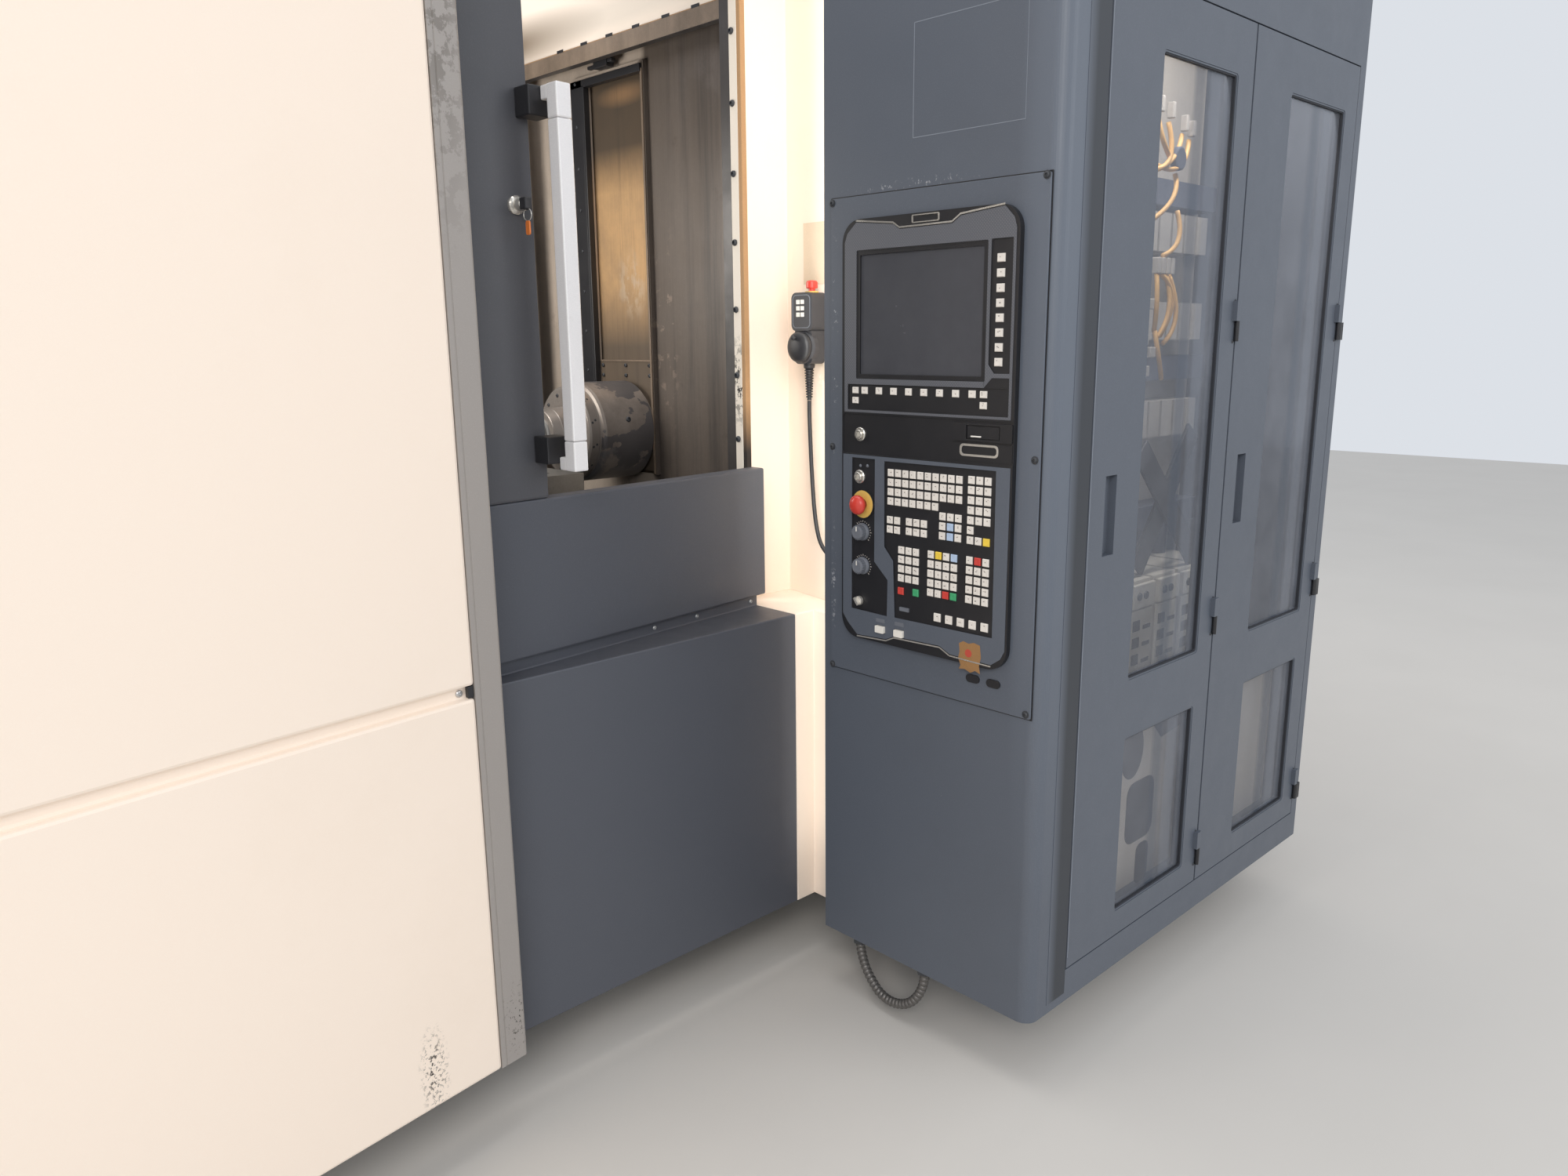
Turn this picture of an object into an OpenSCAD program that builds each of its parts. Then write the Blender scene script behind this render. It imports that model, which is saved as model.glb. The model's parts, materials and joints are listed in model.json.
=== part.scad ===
// Horizontal machining center: covered machine, glazed electrical cabinet and control panel.
// All sizes in millimetres, +Z up. The drawing datum is the control panel's face (X = 0),
// the plane of the dark lower cover (Y = 0) and the floor (Z = 0).

/* [Envelope] */
// Distance from the panel face to the left end of the covers
left_reach = 2050; // [1950:10:2300]
// Distance from the panel face to the right end of the covers
right_reach = 1650; // [1560:10:2000]
// Distance from the lower cover to the rear cover's outer face
rear_reach = 2050; // [2040:10:2400]
// Height of the covers round the work area
chamber_h = 2400; // [2380:10:2600]
// Height of the column housing above the other covers
housing_rise = 250; // [240:10:500]
// Height of the covers' lower edge above the floor
skirt_z = 150; // [120:5:170]
// Thickness of the folded cover panels
cover_t = 30; // [20:1:34]
// Angle of the front covers to the machine's length
front_turn = 6.8; // [6:0.1:7.2]
// Distance of the front covers in front of the datum at the profile strip
front_step = 72; // [68:1:80]

/* [Front] */
// Distance of the strip's left edge from the panel face
strip_x = 805; // [800:1:815]
// Width of the grey profile strip
strip_w = 54; // [40:1:60]
// Depth of the profile strip
strip_d = 82; // [76:1:84]
// Height of the joint between lower and upper left covers
joint_z = 881; // [860:1:900]
// Width of that joint
joint_w = 23; // [10:1:30]
// Depth of that joint
joint_d = 14; // [8:1:18]
// Height of the ledge above the floor
ledge_z = 870; // [850:1:880]
// Thickness of the ledge's sheet
ledge_t = 6; // [4:1:8]
// Depth of the apron and the door behind the front covers
door_depth = 90; // [88:1:96]
// Thickness of the apron
apron_t = 40; // [30:1:45]
// Height of the apron's lower edge
apron_z = 896; // [886:1:910]
// Height of the apron's upper edge
apron_top = 1196; // [1150:1:1240]
// Distance of the apron's right end from the panel face
apron_x = 54; // [40:1:60]

/* [Work door] */
// Distance of the open door's right edge from the panel face
door_x = 568; // [560:1:600]
// Width of the door
door_w = 900; // [860:1:960]
// Thickness of the door
door_t = 44; // [36:1:46]
// Distance of the door's upper edge below the covers' top
door_drop = 70; // [66:1:90]
// Gap between the door and its tracks
track_gap = 0.3; // [0.2:0.1:1]
// Width of the window in the door
pane_w = 420; // [300:10:520]
// Height of the window in the door
pane_h = 580; // [400:10:700]
// Width of the square handle tube
grip_w = 32; // [26:1:34]
// Length of the handle tube
grip_h = 667; // [600:1:700]
// Height of the handle tube's lower end
grip_z = 1253; // [1250:1:1290]
// Clear space between the door and the handle tube
grip_gap = 68; // [50:1:72]
// Distance of the handle tube's right side from the panel face
grip_x = 540; // [536:1:560]

/* [Control panel] */
// Width of the mounting plate
plate_w = 520; // [516:1:524]
// Height of the mounting plate
plate_h = 974; // [966:1:1000]
// Height of the plate's lower edge above the floor
plate_z = 787; // [770:1:800]
// Thickness of the mounting plate
plate_t = 4; // [3:0.5:6]
// Width of the moulded bezel
bezel_w = 425; // [421:1:430]
// Height of the moulded bezel
bezel_h = 846; // [843:1:852]
// Thickness of the bezel
bezel_t = 12; // [8:1:16]
// Corner radius of the bezel
bezel_r = 45; // [20:1:50]
// Width of the display
display_w = 313; // [300:1:316]
// Height of the display
display_h = 243; // [230:1:246]
// Key pitch of the keyboard
key_pitch = 19.05; // [18.5:0.05:19.1]
// Key cap size
key_size = 14; // [12:0.5:15]
// Height of a key cap above the bezel
key_h = 2; // [1:0.5:4]
// Diameter of the emergency stop's mushroom head
stop_d = 40; // [30:1:44]
// Diameter of the override knobs
knob_d = 30; // [24:1:34]

/* [Cabinet] */
// Width of the electrical cabinet
cabinet_w = 1262; // [1255:1:1300]
// Depth of the electrical cabinet
cabinet_d = 563; // [560:1:568]
// Distance of the cabinet's front ahead of the lower cover
cabinet_front = 692; // [689:1:695]
// Height of the cabinet's top above the floor
cabinet_top = 2350; // [2340:5:2390]
// Wall of the cabinet
cabinet_wall = 6; // [4:1:8]
// Width of one cabinet door
leaf_w = 545; // [543:1:546]
// Thickness of a cabinet door
leaf_t = 25; // [20:1:30]
// Height of the cabinet doors' lower edge
leaf_z = 224; // [218:1:230]
// Height of the cabinet doors' upper edge
leaf_top = 2102; // [2090:1:2110]
// Width of the windows
window_w = 299; // [280:1:310]
// Thickness of the window panes
pane_t = 4; // [3:0.5:6]
// Radius of the cabinet hinge pins
hinge_pin_r = 2.5; // [2:0.5:3]

/* [Work area] */
// Distance of the spindle axis behind the lower cover
spindle_y = 872; // [866:1:878]
// Height of the spindle axis above the floor
spindle_z = 1241; // [1238:1:1250]
// Distance of the spindle nose from the panel face
nose_x = 81; // [70:1:84]
// Side length of the square pallet
pallet_s = 630; // [600:5:640]
// Thickness of the pallet
pallet_t = 110; // [100:1:120]
// Height of the pallet's top above the floor
pallet_z = 1168; // [1160:1:1168]
// Distance of the pallet's centre from the panel face
pallet_x = 470; // [466:1:480]
// Side travel of the column each way
column_travel = 200; // [150:5:205]
// Upward travel of the spindle head
head_travel = 420; // [400:10:420]
// Diameter of the rotary table
rotary_d = 560; // [480:10:600]
// Pitch of the pallet's tapped holes
hole_pitch = 125; // [120:1:140]
// Core radius of the pallet's tapped holes
hole_r = 7; // [6:0.5:8]

/* [Tool magazine] */
// Number of tool pots
pots = 24; // [16:1:26]
// Radius of the pot circle
pot_ring = 255; // [240:1:270]
// Radius of a tool pot
pot_r = 27; // [20:1:28]

/* [Hidden] */
$fn = 48;

// Smallest clearance between two pieces that only meet
seat = 0.3;
knuckle_r = 5;
hinge_proud = 2 * knuckle_r + seat;
centre_x = (right_reach - left_reach) / 2;
centre_y = (rear_reach - cabinet_front - hinge_proud) / 2;

housing_h = chamber_h + housing_rise;
roof_t = 24;
frame_top = chamber_h - roof_t;
door_top = chamber_h - door_drop;

cream = [0.86, 0.84, 0.76];
blue_grey = [0.38, 0.42, 0.46];
dark_grey = [0.33, 0.34, 0.37];
steel = [0.72, 0.73, 0.74];
iron = [0.42, 0.45, 0.44];
black = [0.12, 0.12, 0.13];

// Y of a line parallel to the front covers, "depth" behind them
function front_y(x, depth) =
  -front_step + (x + strip_x + 5) * tan(front_turn) + depth / cos(front_turn);

module place() {
  translate([-centre_x, -centre_y, 0]) children();
}

module box(x0, x1, y0, y1, z0, z1) {
  translate([x0, y0, z0]) cube([x1 - x0, y1 - y0, z1 - z0]);
}

// A prism between two lines parallel to the front covers
module front_prism(x0, x1, d0, d1, z0, z1) {
  translate([0, 0, z0])
    linear_extrude(z1 - z0)
      polygon([[x0, front_y(x0, d0)], [x1, front_y(x1, d0)],
               [x1, front_y(x1, d1)], [x0, front_y(x0, d1)]]);
}

module rod_x(x0, x1, y, z, r) {
  translate([x0, y, z]) rotate([0, 90, 0]) cylinder(h = x1 - x0, r = r);
}

module rod_y(y0, y1, x, z, r) {
  translate([x, y0, z]) rotate([-90, 0, 0]) cylinder(h = y1 - y0, r = r);
}

module rod_z(z0, z1, x, y, r) {
  translate([x, y, z0]) cylinder(h = z1 - z0, r = r);
}

// A plate standing on the panel face: "along" runs from the cabinet's front edge,
// "out" is the height above the face, towards the operator
module on_face(along, z, out) {
  translate([-out, along - cabinet_front, z]) rotate([90, 0, -90]) children();
}

module rounded_rect(w, h, r) {
  square([w - 2 * r, h], center = true);
  square([w, h - 2 * r], center = true);
  for (sx = [-1, 1], sy = [-1, 1])
    translate([sx * (w / 2 - r), sy * (h / 2 - r)]) circle(r = r);
}

wall_plane = 152;
wall_t = 6;
bed_half = 375;
bed_z = 620;
trough_half = 180;
trough_d = 130;
link_half = 300;
link_top = 500;
rail_h = 40;
rail_w = 45;
rail_gauge = 520;
column_bed_z = 700;
column_rail_x = [480, 1050];
bed_end = 190;
bed_start = -1750;
column_bed_x = [300, 1250];
column_bed_y = [150, 1450];
magazine_x = -200;
magazine_disc_r = pot_ring + pot_r + 8;
magazine_gap = 40;
magazine_y = rear_reach - cover_t - magazine_disc_r - magazine_gap;
magazine_z = 1500;
magazine_pin_r = 30;

module bed() {
  color(iron) place() difference() {
    union() {
      box(bed_start, bed_end, spindle_y - bed_half, spindle_y + bed_half, skirt_z, bed_z);
      for (s = [-1, 1])
        box(bed_start + 40, wall_plane - 12, spindle_y + s * rail_gauge / 2 - rail_w / 2,
            spindle_y + s * rail_gauge / 2 + rail_w / 2, bed_z, bed_z + rail_h);
      box(bed_end, column_bed_x[0], spindle_y - link_half, spindle_y + link_half,
          skirt_z, link_top);
      box(column_bed_x[0], column_bed_x[1], column_bed_y[0], column_bed_y[1],
          skirt_z, column_bed_z);
      for (x = column_rail_x)
        box(x - rail_w / 2, x + rail_w / 2, column_bed_y[0] + 20, column_bed_y[1] - 20,
            column_bed_z, column_bed_z + rail_h);
    }
    box(bed_start + 60, bed_end + 1, spindle_y - trough_half, spindle_y + trough_half,
        bed_z - trough_d, bed_z + 1);
    box(column_rail_x[0] + 120, column_rail_x[1] - 120, column_bed_y[0] - 1,
        column_bed_y[1] + 1, column_bed_z - trough_d, column_bed_z + 1);
  }
}

foot_r = 60;
stud_r = 18;

module foot(x, y) {
  translate([x, y, 0]) {
    rotate_extrude()
      polygon([[0, 0], [foot_r, 0], [foot_r, 12], [foot_r - 4, 16], [30, 30], [stud_r, 34],
               [stud_r, skirt_z], [0, skirt_z]]);
    translate([0, 0, 62]) cylinder(h = 26, r = 32, $fn = 6);
  }
}

module levelling_feet() {
  color("dimgray") place() {
    for (x = [-1650, -1050, -450, 120], s = [-1, 1]) foot(x, spindle_y + s * 310);
    for (x = [380, 1170], y = [column_bed_y[0] + 80, column_bed_y[1] - 80]) foot(x, y);
    for (x = [-left_reach + 80, right_reach - 80]) foot(x, rear_reach - 80);
    foot(-left_reach + 80, front_y(-left_reach + 80, 80));
    foot(magazine_x + 110, magazine_y);
    foot(right_reach - 80, cabinet_d - cabinet_front + 80);
  }
}

screw_r = 20;
table_screw_z = 560;
column_screw_z = 650;
column_screw_x = 765;

module axis_drives() {
  color("silver") place() {
    rod_x(bed_start + 260, bed_end - 60, spindle_y, table_screw_z, screw_r);
    box(bed_end - 60, bed_end - seat, spindle_y - 60, spindle_y + 60, 490, 600);
    box(bed_start + 200, bed_start + 260, spindle_y - 60, spindle_y + 60, 490, 600);
    rod_x(bed_start + 62, bed_start + 200, spindle_y, table_screw_z, 55);
    rod_y(column_bed_y[0] + 260, column_bed_y[1] - 60, column_screw_x, column_screw_z, screw_r);
    box(column_screw_x - 60, column_screw_x + 60, column_bed_y[1] - 60,
        column_bed_y[1] - 10, 570, 695);
    box(column_screw_x - 60, column_screw_x + 60, column_bed_y[0] + 200,
        column_bed_y[0] + 260, 570, 695);
    rod_y(column_bed_y[0] + 40, column_bed_y[0] + 200, column_screw_x, column_screw_z, 55);
  }
}

post = 50;
mid_post_x = -1450;
rear_in = rear_reach - cover_t;
left_in = -left_reach + cover_t;
right_in = right_reach - cover_t;
strip_post_x = -strip_x - 5 - post;

// A bar of the frame behind the front covers
module front_bar(x0, x1, z0, z1) {
  front_prism(x0, x1, cover_t + seat, cover_t + seat + post, z0, z1);
}

module enclosure_frame() {
  color(iron) place() {
    for (x = [left_in + seat, mid_post_x, strip_post_x]) front_bar(x, x + post, skirt_z, frame_top);
    for (z = [skirt_z, frame_top - post]) {
      front_bar(left_in + post + 2 * seat, mid_post_x - seat, z, z + post);
      front_bar(mid_post_x + post + seat, strip_post_x - seat, z, z + post);
    }
    box(left_in + seat, left_in + post, rear_in - post, rear_in - seat, skirt_z, frame_top);
    box(right_in - post, right_in - seat, rear_in - post, rear_in - seat, skirt_z,
        housing_h - roof_t);
    box(left_in + seat, left_in + post, front_y(left_in + post, cover_t + post) + 1,
        rear_in - post - seat, frame_top - post, frame_top);
    box(left_in + post + seat, right_in - post - seat, rear_in - post, rear_in - seat,
        skirt_z, skirt_z + post);
    box(right_in - post, right_in - seat, wall_front + cover_t + seat,
        wall_front + cover_t + post, skirt_z, housing_h - roof_t);
    box(right_in - post, right_in - seat, wall_front + cover_t + post + seat,
        rear_in - post - seat, skirt_z, skirt_z + post);
    box(magazine_x + 70, magazine_x + 150, magazine_y - 50, magazine_y + 50,
        skirt_z + post + seat, magazine_z + 60);
    box(magazine_x + 70, magazine_x + 150, magazine_y - 50, rear_in - post - seat, skirt_z,
        skirt_z + post);
    rod_x(magazine_x - 60, magazine_x + 70, magazine_y, magazine_z, magazine_pin_r);
  }
}

strip_right = -strip_x + strip_w;
return_x = 93;
side_x = 35;
wall_front = cabinet_d - cabinet_front + seat;

fold_d = 25;
jamb_x = 76;
jamb_y = 201;
corner_x = 210;
wall_x = 147;
jamb_t = 5;
seal_y = 262;

module lower_panel() {
  color(dark_grey) place() {
    box(strip_right, side_x - seat, 0, fold_d, skirt_z, ledge_z - ledge_t);
    translate([0, 0, ledge_z - ledge_t]) linear_extrude(ledge_t)
      polygon([[strip_right, 0], [side_x - seat, 0],
               [side_x - seat, front_y(side_x, door_depth + apron_t)],
               [strip_right, front_y(strip_right, door_depth + apron_t)]]);
    front_prism(strip_right, side_x - seat, door_depth + 12, door_depth + 30, ledge_z, apron_z);
  }
}

module ledge() {
  color(cream) place() {
    translate([0, 0, skirt_z]) linear_extrude(ledge_z - ledge_t - skirt_z)
      polygon([[side_x, 0], [return_x, 0], [return_x, wall_front],
               [return_x + fold_d, wall_front], [return_x + fold_d, fold_d], [side_x, fold_d]]);
    translate([0, 0, ledge_z - ledge_t]) linear_extrude(ledge_t)
      polygon([[side_x, 0], [return_x, 0], [return_x, wall_front],
               [wall_x + 12, wall_front], [corner_x + 8, jamb_y + 8], [corner_x + 8, seal_y + 6],
               [side_x, seal_y + 6]]);
  }
}

module apron() {
  color(dark_grey) place()
    front_prism(strip_right - 40, apron_x, door_depth, door_depth + apron_t, apron_z,
                apron_top);
}

module left_covers() {
  color(cream) place() difference() {
    front_prism(-left_reach, -strip_x - 5, 0, cover_t, skirt_z, chamber_h);
    front_prism(-left_reach - 1, -strip_x, -1, joint_d, joint_z, joint_z + joint_w);
  }
}

strip_left = -strip_x - 4.7;
strip_edge_r = 8;
groove_x = 11;

module profile_strip() {
  color("gray") place()
    translate([0, 0, skirt_z]) linear_extrude(chamber_h - skirt_z) {
      difference() {
        polygon([[strip_left, front_y(strip_left, 0)],
                 [strip_right - strip_edge_r, front_y(strip_right - strip_edge_r, 0)],
                 [strip_right, front_y(strip_right, strip_edge_r)],
                 [strip_right, front_y(strip_right, strip_d)],
                 [strip_left, front_y(strip_left, strip_d)]]);
        translate([strip_left + groove_x, front_y(strip_left + groove_x, 0)])
          circle(r = 1.5, $fn = 12);
      }
      translate([strip_right - strip_edge_r, front_y(strip_right - strip_edge_r, strip_edge_r)])
        circle(r = strip_edge_r);
    }
}

module door_jamb() {
  color(cream) place()
    translate([0, 0, ledge_z]) linear_extrude(frame_top - ledge_z)
      polygon([[jamb_x, seal_y], [jamb_x, jamb_y], [corner_x, jamb_y], [wall_x, wall_front],
               [wall_x + jamb_t, wall_front], [corner_x + jamb_t + 0.9, jamb_y + jamb_t],
               [jamb_x + jamb_t, jamb_y + jamb_t], [jamb_x + jamb_t, seal_y]]);
}

strip_screw_gap = 150;

module door_seals() {
  color("white") place() {
    box(jamb_x - 7, jamb_x + jamb_t, seal_y, seal_y + 6, ledge_z, frame_top);
    box(jamb_x - 7, jamb_x, jamb_y + 8, seal_y - 12, ledge_z, frame_top);
    for (z = [apron_top + 60 : strip_screw_gap : header_z])
      translate([jamb_x - 7, (jamb_y + seal_y) / 2 - 2, z]) rotate([0, -90, 0])
        cylinder(h = 3, r1 = 6, r2 = 4, $fn = 12);
  }
}

door_bottom = apron_top + track_gap;

module door_track() {
  color(steel) place() {
    front_prism(-left_reach + 90, jamb_x - 40, door_depth - 4, door_depth + door_t + 6,
                door_top + track_gap, frame_top);
  }
}

window_near = 344;
window_far = 1248;
window_low = 960;
window_high = chamber_h - 185;
header_z = chamber_h - 144;
chamber_back = 1330;
chute_z = 640;
liner_t = 4;

module spindle_wall() {
  color(steel) place() {
    difference() {
      box(wall_plane, wall_plane + wall_t, seal_y + 6 + seat, chamber_back, chute_z, header_z);
      box(wall_plane - 1, wall_plane + wall_t + 1, window_near, window_far,
          window_low, window_high);
    }
    box(wall_plane - 14, wall_plane, seal_y + 60, chamber_back, window_high, header_z);
  }
}

chamber_left = -1800;
liner_foot = 500;

module chamber_liner() {
  color(steel) place() {
    box(chamber_left, wall_plane - seat, chamber_back, chamber_back + liner_t, liner_foot,
        frame_top);
    box(chamber_left - liner_t, chamber_left, 200, chamber_back + liner_t, liner_foot,
        frame_top);
    translate([chamber_left, 0, 0]) rotate([90, 0, 90])
      linear_extrude(wall_plane - chamber_left)
        polygon([[spindle_y + bed_half, 470], [chamber_back, chute_z], [chamber_back, chute_z + liner_t],
                 [spindle_y + bed_half, 470 + liner_t]]);
    translate([chamber_left, 0, 0]) rotate([90, 0, 90])
      linear_extrude(wall_plane - chamber_left)
        polygon([[spindle_y - bed_half, 470], [200, chute_z], [200, chute_z + liner_t],
                 [spindle_y - bed_half, 470 + liner_t]]);
  }
}

roof_open_x = [-760, wall_plane];
roof_open_y = [300, 1300];
flange_slot_gap = 120;

module roof() {
  color(cream) place() {
    difference() {
      translate([0, 0, frame_top]) linear_extrude(roof_t)
        polygon([[left_in, front_y(left_in, cover_t)],
                 [-strip_x - 5, front_y(-strip_x - 5, cover_t)],
                 [-strip_x - 5, front_y(-strip_x - 5, strip_d + seat)],
                 [jamb_x + 71, front_y(jamb_x + 71, strip_d + seat)],
                 [jamb_x + 71, wall_front], [wall_plane + cover_t, wall_front],
                 [wall_plane + cover_t, rear_in], [left_in, rear_in]]);
      box(roof_open_x[0], roof_open_x[1], roof_open_y[0], roof_open_y[1], frame_top - 1,
          chamber_h + 1);
    }
    difference() {
      box(wall_plane, wall_plane + cover_t, jamb_y + 80, rear_in, header_z, frame_top);
      for (i = [0:6])
        box(wall_plane - 1, wall_plane + 8, window_near + i * flange_slot_gap,
            window_near + i * flange_slot_gap + 26, header_z + 4, header_z + 12);
    }
    box(wall_plane, wall_plane + cover_t, wall_front + cover_t + seat, rear_in, chamber_h,
        housing_h - roof_t);
    box(wall_plane, right_in, wall_front + cover_t + seat, rear_in, housing_h - roof_t, housing_h);
  }
}

module left_end_cover() {
  color(cream) place() difference() {
    box(-left_reach, left_in, front_y(left_in, cover_t) + seat, rear_in, skirt_z, chamber_h);
    for (y = [500, 1300])
      box(-left_reach - 1, -left_reach + groove_d, y, y + groove_w, joint_z, chamber_h + 1);
    box(-left_reach - 1, -left_reach + groove_d, -300, rear_in + 1, joint_z - groove_w, joint_z);
  }
}

groove_w = 4;
groove_d = 6;
louvre_gap = 30;

// Grooves round a service door in a cover whose outer face is at Y = y
module rear_door(x0, x1, z0, z1, y) {
  for (x = [x0, x1]) box(x, x + groove_w, y - groove_d, y + 1, z0, z1 + groove_w);
  for (z = [z0, z1]) box(x0, x1, y - groove_d, y + 1, z, z + groove_w);
}

module rear_louvres(x0, x1, z0, count, y) {
  for (i = [0:count - 1]) box(x0, x1, y - groove_d, y + 1, z0 + i * louvre_gap,
                              z0 + i * louvre_gap + 10);
}

module rear_cover() {
  color(cream) place() difference() {
    union() {
      box(-left_reach, wall_plane + cover_t, rear_in, rear_reach, skirt_z, chamber_h);
      box(wall_plane + cover_t, right_reach, rear_in, rear_reach, skirt_z, housing_h);
    }
    rear_door(-900, -100, 700, chamber_h - 300, rear_reach);
    rear_door(450, 1350, 300, chamber_h - 300, rear_reach);
    rear_louvres(600, 1200, 500, 8, rear_reach);
    rear_louvres(600, 1200, chamber_h - 700, 8, rear_reach);
    box(-1450, -1446, rear_reach - groove_d, rear_reach + 1, skirt_z - 1, chamber_h + 1);
  }
}

module right_end_cover() {
  color(cream) place() difference() {
    union() {
      box(wall_plane + 45, right_reach, wall_front, wall_front + cover_t, skirt_z, chamber_h);
      box(wall_plane, right_reach, wall_front, wall_front + cover_t, chamber_h, housing_h);
      box(right_in, right_reach, wall_front + cover_t, rear_in, skirt_z, housing_h);
    }
    for (y = [500, 1400])
      box(right_reach - groove_d, right_reach + 1, y, y + groove_w, 300, chamber_h);
    for (z = [300, chamber_h])
      box(right_reach - groove_d, right_reach + 1, 500, 1400 + groove_w, z, z + groove_w);
    for (i = [0:9])
      box(right_reach - groove_d, right_reach + 1, 700, 1200, 600 + i * louvre_gap,
          610 + i * louvre_gap);
  }
}

corner_r = 30;
leaf_x = [131, 682];
leaf_gap = 3;
cabinet_bottom = skirt_z;
y_front = -cabinet_front;
y_back = cabinet_d - cabinet_front;

module cabinet_shell() {
  color(blue_grey) place() {
    difference() {
      translate([0, 0, cabinet_bottom]) linear_extrude(cabinet_top - cabinet_bottom) union() {
        translate([corner_r, y_front]) square([cabinet_w - corner_r, cabinet_d]);
        translate([0, y_front + corner_r]) square([cabinet_w, cabinet_d - corner_r]);
        translate([corner_r, y_front + corner_r]) circle(r = corner_r);
      }
      box(cabinet_wall, cabinet_w - cabinet_wall, y_front + 32, y_back - cabinet_wall,
          cabinet_bottom + cabinet_wall, cabinet_top - cabinet_wall);
      box(leaf_x[0] - 20, leaf_x[1] + leaf_w + leaf_gap, y_front - 1, y_front + 33,
          leaf_z - leaf_gap, leaf_top + leaf_gap);
    }
    box(leaf_x[0] - 20, leaf_x[0] + 12, y_front + 33, y_front + 45,
        cabinet_bottom + cabinet_wall, cabinet_top - cabinet_wall);
    box(leaf_x[1] - 14, leaf_x[1] + 14, y_front + 33, y_front + 58,
        cabinet_bottom + cabinet_wall, cabinet_top - cabinet_wall);
  }
}

hinge_z = [310, 873, 1518];
hinge_h = 84;
hinge_y = y_front - knuckle_r - seat;
hinge_in = 2;
bracket_t = 3;

// X of the hinge axis of the door whose left edge is at x
function hinge_x(x) = x + leaf_w - hinge_in;

module cabinet_hinges() {
  color(black) place() {
    for (x = leaf_x, z = hinge_z) {
      rod_z(z - hinge_h / 2, z + hinge_h / 2 - 2, hinge_x(x), hinge_y, hinge_pin_r);
      rod_z(z - hinge_h / 2, z, hinge_x(x), hinge_y, knuckle_r);
    }
    for (z = hinge_z) {
      box(leaf_x[0] + leaf_w + 1.5, leaf_x[0] + leaf_w + 1.5 + bracket_t, hinge_y,
          y_front + 33, z - hinge_h / 2, z);
      box(hinge_x(leaf_x[0]), leaf_x[0] + leaf_w + 1.5, hinge_y - 2, hinge_y + 2,
          z - hinge_h / 2, z);
      box(leaf_x[1] + leaf_w + 1, leaf_x[1] + leaf_w + leaf_gap + 14, hinge_y - knuckle_r,
          y_front, z - hinge_h / 2, z);
    }
  }
}

module leaf_knuckle(x, z) {
  difference() {
    union() {
      rod_z(z + seat, z + hinge_h / 2, hinge_x(x), hinge_y, knuckle_r);
      box(x + leaf_w - 16, hinge_x(x), hinge_y - knuckle_r, y_front, z + seat, z + hinge_h / 2);
    }
    rod_z(z - 1, z + hinge_h / 2 - 1.5, hinge_x(x), hinge_y, hinge_pin_r + seat);
  }
}

window_x = 180;
window_r = 9;
upper_window = [leaf_z + 575, leaf_top - 104];
lower_window = [leaf_z + 57, leaf_z + 451];
grip_slot_x = [55, 95];
grip_slot_z = [leaf_z + 851, leaf_z + 1006];

// A cabinet door's window as a block from y0 to y1, made smaller all round by "less"
module window_block(x, z, less, y0, y1) {
  translate([x + window_x + window_w / 2, y1, (z[0] + z[1]) / 2]) rotate([90, 0, 0])
    linear_extrude(y1 - y0)
      rounded_rect(window_w - 2 * less, z[1] - z[0] - 2 * less, window_r);
}

module leaf(x) {
  for (z = hinge_z) leaf_knuckle(x, z);
  difference() {
    box(x, x + leaf_w, y_front, y_front + leaf_t, leaf_z, leaf_top);
    for (z = [upper_window, lower_window])
      window_block(x, z, 0, y_front - 1, y_front + leaf_t + 1);
    box(x + grip_slot_x[0], x + grip_slot_x[1], y_front - 1, y_front + 16, grip_slot_z[0],
        grip_slot_z[1]);
  }
}

module cabinet_door_left() {
  color(blue_grey) place() leaf(leaf_x[0]);
}

module cabinet_door_right() {
  color(blue_grey) place() leaf(leaf_x[1]);
}

module panes(x) {
  for (z = [upper_window, lower_window])
    window_block(x, z, seat, y_front + 10, y_front + 10 + pane_t);
}

module cabinet_glass_left() {
  color([0.7, 0.75, 0.78, 0.35]) place() panes(leaf_x[0]);
}

module cabinet_glass_right() {
  color([0.7, 0.75, 0.78, 0.35]) place() panes(leaf_x[1]);
}

board_y = y_front + 390;
gear_rows = [1240, 1480, 1690];
gear_x = [for (i = [0:8]) 580 + i * 62];
relay_x = [for (i = [0:3]) 600 + i * 72];
drive_x = [for (i = [0:3]) 650 + i * 120];
drive_w = 106;
drive_top = 920;
duct_z = [1000, 1380, 1800];
duct_h = 60;
duct_x = [170, 1200];

module mounting_plate() {
  color("wheat") place()
    box(135, cabinet_w - 20, board_y, board_y + 4, cabinet_bottom + cabinet_wall,
        cabinet_top - cabinet_wall);
}

module switchgear() {
  color("gainsboro") place() {
    for (z = gear_rows, x = gear_x)
      box(x, x + 52, board_y - 86, board_y, z, z + 90);
    for (x = relay_x)
      box(x, x + 60, board_y - 60, board_y, 1590, 1660);
  }
}

module drive_modules() {
  color("whitesmoke") place()
    for (x = drive_x)
      box(x, x + drive_w, board_y - 190, board_y, 560, drive_top);
}

module wire_ducts() {
  color("lightslategray") place() {
    for (z = duct_z)
      box(duct_x[0], duct_x[1], board_y - 70, board_y, z, z + duct_h);
    box(duct_x[0] - 30, duct_x[0] - 2, board_y - 70, board_y, 300, 2200);
    for (x = drive_x) rod_z(drive_top, duct_z[0], x + drive_w / 2, board_y - 40, 20);
  }
}

plate_along = 281;
face_out = plate_t + bezel_t;
field_d = 1.5;
field_out = face_out - field_d;
stop_along = 435;
stop_z = 1156;
stem_r = 11;
start_along = 385;
halt_along = 334;
button_z = 899.5;
button_w = 24;
button_h = 15;

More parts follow.
